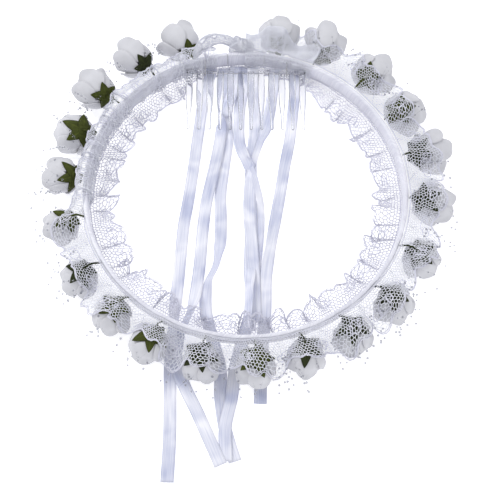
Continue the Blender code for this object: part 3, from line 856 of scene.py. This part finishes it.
def make_calyxes():
    for number in ROSE_NUMBERS:
        seat, turn, aim = rose_frame(number)
        node = f"calyx_{number:02d}"
        size, long = ROSE_SIZES.get(number, 1.0), SHORT_SEPALS.get(number, 1.0)
        star = calyx_mesh(node, seat, turn, size, long, 300 + number)
        # painted shade: the listed calyxes get the darker copy of the cloth
        cloth = shaded_calyx_cloth if number in SHADED_CALYXES else calyx_cloth
        calyx = new_piece(node + "_sepals", star, cloth)
        thicken(calyx, CALYX_WALL)
        settle(calyx)
        wire = tube(node + "_stem", stem_path(number, seat, aim), STEM_RADIUS, 8)
        enter(calyx, node)
        enter(new_piece(node + "_stem", wire, cloth))
    print("21 calyxes with", SEPALS, "sepals each")


make_calyxes()

# %% [markdown]
# ## Lace
#
# The ruffles are net lace: round-holed net with a heavier thread round its scalloped edge and its
# motifs. A flat texture would lose the holes, so the net is made of threads. A honeycomb is laid
# out flat at the lace's cut size, a function folds it into the gathered ruffle, and Geometry Nodes
# give every edge of it a thread.

# %% Threads from edges, with Geometry Nodes
def end_tree(group, geometry, finish, out):
    """Make the geometry real, smooth and of one material, and hand it out."""
    real = place(group, "GeometryNodeRealizeInstances", Geometry=geometry)
    smooth = place(group, "GeometryNodeSetShadeSmooth", Geometry=real.outputs[0])
    made = place(group, "GeometryNodeSetMaterial", Geometry=smooth.outputs[0], Material=finish)
    feed(group, out, Geometry=made.outputs[0])


def thread_tree():
    """Geometry nodes that turn a mesh's edges into threads."""
    group, given, out = new_group(
        "threads along edges", "GeometryNodeTree",
        [("Geometry", "NodeSocketGeometry", None), ("Thread Radius", "NodeSocketFloat", 0.00012),
         ("Sides", "NodeSocketInt", 3), ("Thread", "NodeSocketMaterial", None)],
        [("Geometry", "NodeSocketGeometry")])
    lines = place(group, "GeometryNodeMeshToCurve", Mesh=given.outputs["Geometry"])
    ring = place(group, "GeometryNodeCurvePrimitiveCircle", Resolution=given.outputs["Sides"],
                 Radius=given.outputs["Thread Radius"])
    body = place(group, "GeometryNodeCurveToMesh", Curve=lines.outputs["Curve"],
                 Profile_Curve=ring.outputs["Curve"])
    end_tree(group, body.outputs["Mesh"], given.outputs["Thread"], out)
    return group


THREADS = thread_tree()


def through_nodes(piece, tree, values):
    """Run a piece through a node tree with these inputs, and keep the result as its mesh."""
    modifier = piece.modifiers.new(tree.name, "NODES")
    modifier.node_group = tree
    for item in tree.interface.items_tree:
        if item.in_out == "INPUT" and item.name in values:
            modifier[item.identifier] = values[item.name]
    return settle(piece)


def threads(name, points, edges, radius, sides, finish):
    mesh = bpy.data.meshes.new(name)
    mesh.from_pydata([tuple(point) for point in points], edges, [])
    piece = link(bpy.data.objects.new(name, mesh))
    return through_nodes(piece, THREADS, {"Thread Radius": radius, "Sides": sides,
                                          "Thread": finish})


# %% A flat honeycomb
# pitch of the holes and radius of the thread
LOWER_NET = (0.0022, 0.00021)
UPPER_NET = (0.0017, 0.00020)
BOW_NET = (0.0012, 0.00017)
OUTLINE_RADIUS = 0.00025
OUTLINE_STEP = 0.0010
ROOT_LINE = 0.0008          # from the gathered edge to its running thread
EDGE_LINES = (0.0, 0.0007)  # from the scalloped edge to its two outline threads
MOTIF_LOOPS = ((0.0, 0.0030), (-0.0034, 0.0019), (0.0034, 0.0019))
MOTIF_HEIGHT = 0.60
MOTIF_STEPS = 14
SCALLOP = 0.0110
SCALLOP_DEPTH = 0.0024


def honeycomb(length, width, seed, pitch, edge_at):
    """Points (along, across) and edges of a net that fills a strip, slightly uneven as knotted."""
    draw = np.random.default_rng(seed)
    side = pitch / sqrt(3)
    rise = 1.5 * side
    keys, points, edges = {}, [], set()

    def corner(x, y):
        key = (round(x / pitch * 4), round(y / side * 4))
        if key not in keys:
            keys[key] = len(points)
            shake = draw.uniform(-0.2, 0.2, 2) * pitch
            points.append((min(length, max(0.0, x + shake[0])),
                           min(width, max(0.0, y + shake[1]))))
        return keys[key]

    for row in range(int(width / rise) + 2):
        for column in range(int(length / pitch)):
            x = (column + 0.5 * (row % 2)) * pitch
            y = row * rise
            if y > edge_at(x) - side * 0.5:
                continue
            ring = [corner(x + side * sin(radians(60 * k)), y + side * cos(radians(60 * k)))
                    for k in range(6)]
            for a, b in zip(ring, ring[1:] + ring[:1]):
                edges.add((min(a, b), max(a, b)))
    return points, sorted(edges)


def strip_lace(name, length, width, fold, seed, net_size, thread=net_thread, motifs=True):
    """A strip of lace folded by fold(along, across). Returns the net and its outline threads."""
    def edge_at(x):
        return width - SCALLOP_DEPTH * (0.5 + 0.5 * cos(2 * pi * x / SCALLOP)) ** 2

    pitch, radius = net_size
    flat, edges = honeycomb(length, width, seed, pitch, edge_at)
    net = threads(name + "_net", [fold(x, y) for x, y in flat], edges, radius, 3, thread)
    lines, pairs = [], []

    def add_line(samples):
        start = len(lines)
        lines.extend(fold(x, max(0.0, y)) for x, y in samples)
        pairs.extend((start + k, start + k + 1) for k in range(len(samples) - 1))

    run = [k * OUTLINE_STEP for k in range(int(length / OUTLINE_STEP) + 1)]
    for inset in EDGE_LINES:
        add_line([(x, edge_at(x) - inset) for x in run])
    add_line([(x, ROOT_LINE) for x in run])
    if motifs:
        for k in range(int(length / (2 * SCALLOP))):
            middle = (2 * k + 1) * SCALLOP
            for shift, size in MOTIF_LOOPS:
                turns = [2 * pi * q / MOTIF_STEPS for q in range(MOTIF_STEPS + 1)]
                add_line([(middle + shift + size * (1 + 0.25 * sin(2 * turn + k)) * cos(turn),
                           width * MOTIF_HEIGHT
                           + size * (1 + 0.2 * cos(3 * turn + k)) * sin(turn))
                          for turn in turns])
    return net, threads(name + "_outline", lines, pairs, OUTLINE_RADIUS, 4, bold_thread)


def finish_lace(node, net, outline):
    """Give both parts of a lace their places in the frame."""
    enter(net, node)
    enter(outline)
    print(node, "is a net of", len(net.data.polygons), "faces")


# %% [markdown]
# ## Lower ruffle
#
# The lower ruffle is gathered on to the band's lower edge and spreads in over the table. Gathering
# puts nearly half as much lace again into the ring, so it lies in broad lobes with narrow folds
# between them. At the back it is tucked up under the band, behind the comb.

# %% Fold the lower ruffle
LOWER_LENGTH = 0.760
LOWER_WIDTH = 0.0170
LOWER_WAVES = 28
TUCK_MIDDLE = 85
TUCK_HALF_SWEEP = 32
RUFFLE_ROOT = HOOP_RADIUS - 0.0010


def unevenness(share, scale, seed):
    """Smooth noise round the ring."""
    turn = 2 * pi * share
    return noise.noise(Vector((cos(turn) * scale, sin(turn) * scale, seed)))


def wave_phase(share, waves, seed):
    """The phase of the gathers, drifting so no two waves are the same width."""
    drift = unevenness(share, 3, seed)
    drift += 0.6 * unevenness(share, 8, seed)
    return 2 * pi * (waves * share + 0.9 * drift)


def tucked(bearing):
    """How far the lace spreads in: behind the comb it is tucked up under the band."""
    off = abs((bearing - TUCK_MIDDLE + 180) % 360 - 180)
    return 1 - 0.65 * ease((TUCK_HALF_SWEEP - off) / 9)


def fold_lower(along, across):
    """Each wave is a broad lobe that lies face up, with a narrow fold between it and the next."""
    share = along / LOWER_LENGTH
    v = across / LOWER_WIDTH
    phase = wave_phase(share, LOWER_WAVES, 1.7)
    grow = v ** 0.7
    spread = 0.82 + 0.40 * unevenness(share, 16, 3.3)
    bearing = 90 + 360 * share + grow * spread * 360 / (2 * pi * LOWER_WAVES) * sin(phase)
    bearing += 3.2 * v * unevenness(share, 11, 4.4)
    narrow = tucked(90 + 360 * share)
    reach = narrow * LOWER_WIDTH * v * (0.80 + 0.13 * cos(phase) * v
                                        + 0.34 * v * unevenness(share, 9, 2.2))
    mean = (BAND_BASE + 0.0004) * (1 - v) ** 1.3 + 0.0036 * v
    uneven = 0.9 + 0.8 * unevenness(share, 12, 8.1)
    height = mean + 0.0034 * narrow * grow * cos(phase) * uneven
    return polar(RUFFLE_ROOT - reach, bearing, max(0.0003, height))


def make_lower_ruffle():
    net, outline = strip_lace("lace_inner", LOWER_LENGTH, LOWER_WIDTH, fold_lower, 11,
                              LOWER_NET, shaded_thread)
    finish_lace("lace_inner_ruffle", net, outline)


make_lower_ruffle()

# %% [markdown]
# ## Upper ruffle
#
# The upper ruffle is gathered on to the band's top and falls outwards over the calyxes and the
# backs of the roses. Its height is found by looking straight down on the roses and laying the lace
# just above what is met, and it sinks a little where there is nothing under it. On the left of the
# crown it is drawn back over the band, so the calyxes there stay bare.

# %% Drape the upper ruffle
UPPER_LENGTH = 0.760
UPPER_WIDTH = 0.0205
UPPER_WAVES = 25
SKY = 0.08
DRAPE_REACH = 0.022
DRAPE_START = -0.0040
DRAPE_GRID = (480, 16)      # bearings, reaches
DRAPE_SMOOTHING = 10        # passes
DRAPE_SINK = 0.0030         # below the band's top where nothing is under the lace
DRAPE_SLOPE = 0.30
LACE_STAND = 0.0004         # of lace over what it lies on


def mesh_parts(mesh):
    """A mesh's points and faces."""
    return ([vertex.co.copy() for vertex in mesh.vertices],
            [polygon.vertices for polygon in mesh.polygons])


def top_of(pieces):
    """A tree of all the faces of some pieces, to look down on."""
    points, faces = [], []
    for piece in pieces:
        add_patch(points, faces, *mesh_parts(piece.data))
    return BVHTree.FromPolygons(points, faces)


UNDER = top_of([piece for piece in bpy.data.objects
                if piece.name.endswith(("_petals", "_sepals", "_stem", "wrap_cloth"))])


def drape_map():
    """Height of the lace on a grid of bearing and reach, smoothed so the cloth spans the gaps."""
    bearings, reaches = DRAPE_GRID
    field = np.zeros(DRAPE_GRID)
    for i in range(bearings):
        for j in range(reaches):
            out = DRAPE_START + (DRAPE_REACH - DRAPE_START) * j / (reaches - 1)
            hit = UNDER.ray_cast(polar(BAND_OUTER + out, 360 * i / bearings, SKY), -UP)[0]
            floor_line = BAND_TOP - DRAPE_SINK - DRAPE_SLOPE * max(0.0, out)
            field[i, j] = max(floor_line, hit.z if hit else 0.0)
    raised = field.copy()
    for _ in range(DRAPE_SMOOTHING):
        spread = (np.roll(raised, 1, 0) + np.roll(raised, -1, 0) + 2 * raised) / 4
        spread[:, 1:-1] = (spread[:, :-2] + spread[:, 2:] + 2 * spread[:, 1:-1]) / 4
        raised = np.maximum(spread, field)
    return raised


DRAPE = drape_map()


def drape_height(bearing, out):
    """The drape's height at a bearing and a reach, read between the grid's points."""
    rows, columns = DRAPE.shape
    x = (bearing % 360) / 360 * rows
    y = (out - DRAPE_START) / (DRAPE_REACH - DRAPE_START) * (columns - 1)
    y = min(columns - 1.001, max(0.0, y))
    i, j = floor(x), floor(y)
    fx, fy = x - i, y - j
    near = DRAPE[i % rows, j] * (1 - fx) + DRAPE[(i + 1) % rows, j] * fx
    far = DRAPE[i % rows, j + 1] * (1 - fx) + DRAPE[(i + 1) % rows, j + 1] * fx
    return near * (1 - fy) + far * fy


UPPER_START = 102.0
UPPER_SWEEP = 332.0
BACK_SWEEP = 84.0           # the part that is drawn back over the band, and gathered tighter
BACK_SHARE = 0.34
BAND_INNER = HOOP_RADIUS - BAND_HALF_WIDTH


def upper_bearing(share):
    """Where a share of the upper lace's length is sewn to the band."""
    if share < BACK_SHARE:
        return UPPER_START + BACK_SWEEP * share / BACK_SHARE
    rest = (share - BACK_SHARE) / (1 - BACK_SHARE)
    return UPPER_START + BACK_SWEEP + (UPPER_SWEEP - BACK_SWEEP) * rest


def drawn_back(bearing):
    """1 where the lace is drawn back over the band, 0 where it lies out over the roses."""
    return 1 - ease((bearing - 182) / 16)


def over_band(v, bearing, crumple):
    """A place on the lace that climbs the band's inner face, crosses its top and falls outwards."""
    stand = 0.0007 + crumple
    fall = 0.0042 + 0.0036 * (1 - ease((bearing - 140) / 14))
    corners = [(BAND_INNER - stand, BAND_BASE + 0.0005), (BAND_INNER - stand, BAND_TOP - 0.0006),
               (BAND_INNER + 0.0004, BAND_TOP + stand), (BAND_OUTER + 0.0012, BAND_TOP + stand),
               (BAND_OUTER + fall, 0)]
    splits = [0.0, 0.42, 0.50, 0.60, 1.0]
    for k in range(4):
        if v <= splits[k + 1] or k == 3:
            t = (v - splits[k]) / (splits[k + 1] - splits[k])
            (near, low), (far, high) = corners[k], corners[k + 1]
            if k == 3:
                high = drape_height(bearing, far - BAND_OUTER) + LACE_STAND + crumple
            return near + (far - near) * t, low + (high - low) * t


def fold_upper(along, across):
    """Gathered waves that lie out over the roses, or back over the band on the left."""
    share = along / UPPER_LENGTH
    v = across / UPPER_WIDTH
    phase = wave_phase(share, UPPER_WAVES, 5.1)
    grow = v ** 0.8
    bearing = upper_bearing(share)
    back = drawn_back(bearing)
    spread = 0.86 + 0.34 * v * unevenness(share, 10, 6.6)
    out = 0.0003 + UPPER_WIDTH * v * spread * (1 + 0.10 * cos(phase + 0.7) * v)
    bearing += 0.6 * grow * UPPER_SWEEP / (2 * pi * UPPER_WAVES) * sin(phase)
    height = drape_height(bearing, out) + LACE_STAND + 0.0011 * grow * (1 + cos(phase))
    crumple = 0.0007 * (1 + sin(3 * phase + 9 * v)) + 0.0004 * (1 + sin(7 * phase - 5 * v))
    near, climb = over_band(v, bearing, crumple)
    radius = (BAND_OUTER + out) * (1 - back) + near * back
    return polar(radius, bearing, height * (1 - back) + climb * back)


def make_upper_ruffle():
    net, outline = strip_lace("lace_outer", UPPER_LENGTH, UPPER_WIDTH, fold_upper, 12,
                              UPPER_NET)
    finish_lace("lace_outer_ruffle", net, outline)


make_upper_ruffle()

# %% [markdown]
# ## Bow at the back
#
# The ends of the lace are drawn over the joint: a narrow arched loop on one side, a knot, and a
# wide flap that lies over the rose on the other side. They are the same lace, drawn tighter so its
# holes are finer, and each is folded by a function of its own.

# %% Make the bow
FLAP_SIZE = (0.064, 0.052)
LOOP_SIZE = (0.046, 0.024)
KNOT_SIZE = (0.050, 0.022)
FLAP_CLIMB = 0.18           # the share of the flap's width that climbs over the band


def fold_flap(along, across):
    """A wide loop of lace: up over the band, out over the next rose, and back underneath."""
    share, v = along / FLAP_SIZE[0], across / FLAP_SIZE[1]
    phase = 2 * pi * 2.2 * share + 0.6
    bearing = 90.5 - 27.0 * share - 1.0 * v * sin(2 * phase)
    crumple = 0.0006 * sin(23 * share + 5 * v) + 0.0005 * sin(21 * v - 13 * share)
    if v < FLAP_CLIMB:
        near, climb = over_band(v / FLAP_CLIMB * 0.60, bearing, 0.0005 + abs(crumple))
        return polar(near, bearing, climb)
    w = (v - FLAP_CLIMB) / ((1 - FLAP_CLIMB) / 2)
    under = w > 1
    w = 2 - w if under else w
    out = 0.0012 + 0.0165 * w * (1 - 0.45 * share)
    puff = 0.0064 * sin(pi * min(1.0, w * 0.92)) * (1 - share) ** 0.7 * min(1.0, 5 * share + 0.4)
    lifted = 0.0007 + 0.0010 * w * (1 + cos(phase)) + (0.3 if under else 1.0) * puff
    return polar(BAND_OUTER + out, bearing, drape_height(bearing, out) + lifted + crumple)


def fold_loop(along, across):
    """A loop that stands off the band in an arch, its lace rolled into a flat tube."""
    share, v = along / LOOP_SIZE[0], across / LOOP_SIZE[1]
    arch = abs(sin(pi * min(1.0, share * 0.95 + 0.05))) ** 0.7
    around = 2 * pi * v
    size = 0.0036 + 0.0006 * sin(9 * share + 2 * around) - 0.0012 * abs(2 * share - 1) ** 3
    radius = BAND_OUTER + 0.0010 + 0.0082 * arch + 0.9 * size * cos(around)
    height = BAND_TOP - 0.0026 + 0.0040 * arch + size * sin(around)
    return polar(radius, 92.4 + 17.5 * share, height)


def fold_knot(along, across):
    """A crumpled ball of lace."""
    around = 2 * pi * along / KNOT_SIZE[0]
    turn = pi * across / KNOT_SIZE[1]
    size = 0.0056 * (1 + 0.20 * sin(3 * around + 2 * turn) + 0.14 * cos(5 * around + turn))
    spot = Vector((size * 1.05 * cos(around) * sin(turn), size * 0.85 * sin(around) * sin(turn),
                   size * 1.10 * cos(turn)))
    return polar(BAND_OUTER + 0.0034, 91.8, BAND_TOP) + spot


def make_bow():
    for node, size, fold, seed in (("lace_bow_flap", FLAP_SIZE, fold_flap, 21),
                                   ("lace_bow_loop", LOOP_SIZE, fold_loop, 22),
                                   ("lace_bow_knot", KNOT_SIZE, fold_knot, 23)):
        net, outline = strip_lace(node, *size, fold, seed, BOW_NET, motifs=False)
        finish_lace(node, net, outline)


make_bow()

# %% [markdown]
# ## Comb and its ties
#
# The comb is moulded clear plastic: a round-edged spine with twelve tapering teeth. It swings in
# two ties of grey thread. Each tooth is a row of rounded sections from root to tip, and the spine a
# tube of the same kind, so light bends through them as through the real plastic.

# %% Make the comb
COMB_LOW, COMB_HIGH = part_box("hair_comb")
COMB_JOINT = next(joint for joint in frame["record"]["behaviour"]["joints"]
                  if joint["name"] == "comb_swing")
COMB_AXIS = Vector(COMB_JOINT["pos_m"])
COMB_TEETH = 12
TOOTH_ROOT = 0.0040
COMB_SPINE = 0.0035
COMB_THICKNESS = 0.0016
# a tooth's sections: share of its length, of its width at the root and of the comb's thickness
TOOTH_SECTIONS = ((0.01, 0.90, 0.80), (0.06, 0.92, 0.95), (0.30, 1.00, 0.92), (0.52, 0.90, 0.86),
                  (0.68, 0.66, 0.80), (0.74, 0.50, 0.80), (0.90, 0.44, 0.75),
                  (0.975, 0.42, 0.72), (0.99, 0.34, 0.60), (0.997, 0.22, 0.36), (1.0, 0.05, 0.06))


def oval_loft(sections, sides=12):
    """A closed body through ovals, each (centre, half width, half thickness, across, through)."""
    points = []
    for centre, wide, thick, across, through in sections:
        for j in range(sides):
            angle = 2 * pi * j / sides
            points.append(centre + across * (wide * cos(angle)) + through * (thick * sin(angle)))
    return points, tube_faces(len(sections), sides)


def make_comb():
    half = (COMB_HIGH[0] - COMB_LOW[0]) / 2
    tip = Vector((0, COMB_LOW[1], COMB_LOW[2] + COMB_THICKNESS / 2))
    along = Vector((0, tip.y - COMB_AXIS.y, tip.z - COMB_AXIS.z))
    long = along.length
    along.normalize()
    side = Vector((1, 0, 0))
    through = side.cross(along)
    points, faces = [], []
    ends = [(-half, 0.5), (-half + 0.0007, 0.92), (-half + 0.0018, 1.0), (half - 0.0018, 1.0),
            (half - 0.0007, 0.92), (half, 0.5)]
    spine = [(COMB_AXIS + side * x, COMB_SPINE / 2 * size, COMB_THICKNESS / 2 * size,
              along, -through) for x, size in ends]
    add_patch(points, faces, *oval_loft(spine, 16))
    pitch = (2 * half - TOOTH_ROOT) / (COMB_TEETH - 1)
    for tooth in range(COMB_TEETH):
        root = COMB_AXIS + side * (-half + TOOTH_ROOT / 2 + tooth * pitch)
        rows = [(root + along * long * share, TOOTH_ROOT / 2 * wide, COMB_THICKNESS / 2 * thick,
                 side, through) for share, wide, thick in TOOTH_SECTIONS]
        add_patch(points, faces, *oval_loft(rows))
    comb = new_piece("hair_comb_clear", outward_faces(mesh_from("hair_comb_clear", points, faces)),
                     clear_plastic)
    comb.visible_shadow = False         # light passes through the clear plastic
    enter(comb, "hair_comb", "comb")
    print("comb teeth are", round(long * 1000, 1), "mm from the swing's axis to their tips")


STRAND_RADIUS = 0.00019
STRAND_OFFSET = 0.00016


def make_ties():
    """Two strands twisted round each other, over the spine and back to the band."""
    for node in ("comb_tie_left", "comb_tie_right"):
        low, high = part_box(node)
        x = (low[0] + high[0]) / 2
        loop = (high[2] - low[2]) / 2 - 0.0003
        middle = (high[2] + low[2]) / 2
        band_y = high[1]
        route = [Vector((x, band_y, middle + loop))]
        for i in range(9):
            turn = pi / 2 + pi * i / 8
            route.append(Vector((x, COMB_AXIS.y + loop * cos(turn), middle + loop * sin(turn))))
        route.append(Vector((x, band_y, middle - loop)))
        path = smooth_path(route, 0.0005)
        points, faces = [], []
        for strand in (0, 1):
            twisted = []
            for i, point in enumerate(path):
                angle = 2 * pi * i / 5 + pi * strand
                twisted.append(point + Vector((cos(angle), 0, sin(angle))) * STRAND_OFFSET)
            made = tube(node, twisted, STRAND_RADIUS, 6)
            add_patch(points, faces, *mesh_parts(made))
        tie = new_piece(node + "_thread", mesh_from(node, points, faces), tie_thread)
        enter(tie, node)


make_comb()
make_ties()

# %% [markdown]
# ## Bead sprays
#
# Between the roses stand little sprays of clear nylon filament threaded with tiny beads. Each
# spray is a fan of thin curves from the band outwards. The filaments are threads like the lace's.
# Geometry Nodes set beads along them at the threading pitch, of a random size, and leave some out.

# %% Beads along filaments, with Geometry Nodes
def bead_tree():
    group, given, out = new_group(
        "beads along filaments", "GeometryNodeTree",
        [("Geometry", "NodeSocketGeometry", None), ("Bead Radius", "NodeSocketFloat", 0.0006),
         ("Bead Pitch", "NodeSocketFloat", 0.0034), ("Seed", "NodeSocketInt", 4),
         ("Bead", "NodeSocketMaterial", None)],
        [("Geometry", "NodeSocketGeometry")])
    lines = place(group, "GeometryNodeMeshToCurve", Mesh=given.outputs["Geometry"])
    spots = place(group, "GeometryNodeResampleCurve", {"mode": "LENGTH"},
                  Curve=lines.outputs["Curve"], Length=given.outputs["Bead Pitch"])
    ball = place(group, "GeometryNodeMeshIcoSphere", Radius=given.outputs["Bead Radius"],
                 Subdivisions=2)
    size = place(group, "FunctionNodeRandomValue", {"data_type": "FLOAT"},
                 ((2, 0.7), (3, 1.15)), Seed=given.outputs["Seed"])
    kept = place(group, "FunctionNodeRandomValue", {"data_type": "BOOLEAN"}, Seed=2,
                 Probability=0.6)
    beads = place(group, "GeometryNodeInstanceOnPoints", Points=spots.outputs["Curve"],
                  Instance=ball.outputs["Mesh"], Selection=kept.outputs[3],
                  Scale=size.outputs[1])
    end_tree(group, beads.outputs[0], given.outputs["Bead"], out)
    return group


BEADS = bead_tree()
SPRAY_FILAMENTS = 12
SPRAY_REACH = 0.027
BARE_STEPS = 3              # the part of each filament near the band that holds no beads
WIDEST_GAP = 25             # degrees between two roses, and none over the bow
FILAMENT_RADIUS = 0.00004
BEAD_RADIUS = 0.00060
BEAD_PITCH = 0.0038
BEAD_FACES = 80


def spray_lines():
    """The filaments as runs of points, fanned out from between the roses."""
    draw = np.random.default_rng(77)
    bearings = [rose[0] for rose in ROSE_PLACES]
    runs = []
    for here, there in zip(bearings, bearings[1:] + [bearings[0] + 360]):
        gap = there - here
        middle = here + gap / 2
        if gap > WIDEST_GAP:
            continue
        for k in range(SPRAY_FILAMENTS):
            aim = middle + draw.uniform(-0.75, 0.75) * gap
            reach = SPRAY_REACH * draw.uniform(0.70, 1.0)
            rise = draw.uniform(-0.009, 0.004)
            run = []
            for q in range(8):
                t = q / 7
                radius = BAND_OUTER + 0.002 + reach * t
                bearing = middle + (aim - middle) * t ** 0.8
                height = 0.0130 + rise * t + 0.006 * sin(pi * t)
                run.append(polar(radius, bearing, height))
            runs.append(run)
    return runs


def make_sprays():
    points, edges, threaded = [], [], []
    for run in spray_lines():
        start = len(points)
        points.extend(run)
        steps = [(start + k, start + k + 1) for k in range(len(run) - 1)]
        edges.extend(steps)
        threaded.extend(steps[BARE_STEPS:])
    line = threads("spray_filaments", points, edges, FILAMENT_RADIUS, 3, filament)
    mesh = bpy.data.meshes.new("spray_beads")
    mesh.from_pydata([tuple(point) for point in points], threaded, [])
    beads = link(bpy.data.objects.new("spray_beads", mesh))
    through_nodes(beads, BEADS, {"Bead Radius": BEAD_RADIUS, "Bead Pitch": BEAD_PITCH,
                                 "Bead": bead_plastic})
    for piece in (line, beads):
        piece.visible_shadow = False
        enter(piece)
    print("sprays hold", len(beads.data.polygons) // BEAD_FACES, "beads")


make_sprays()
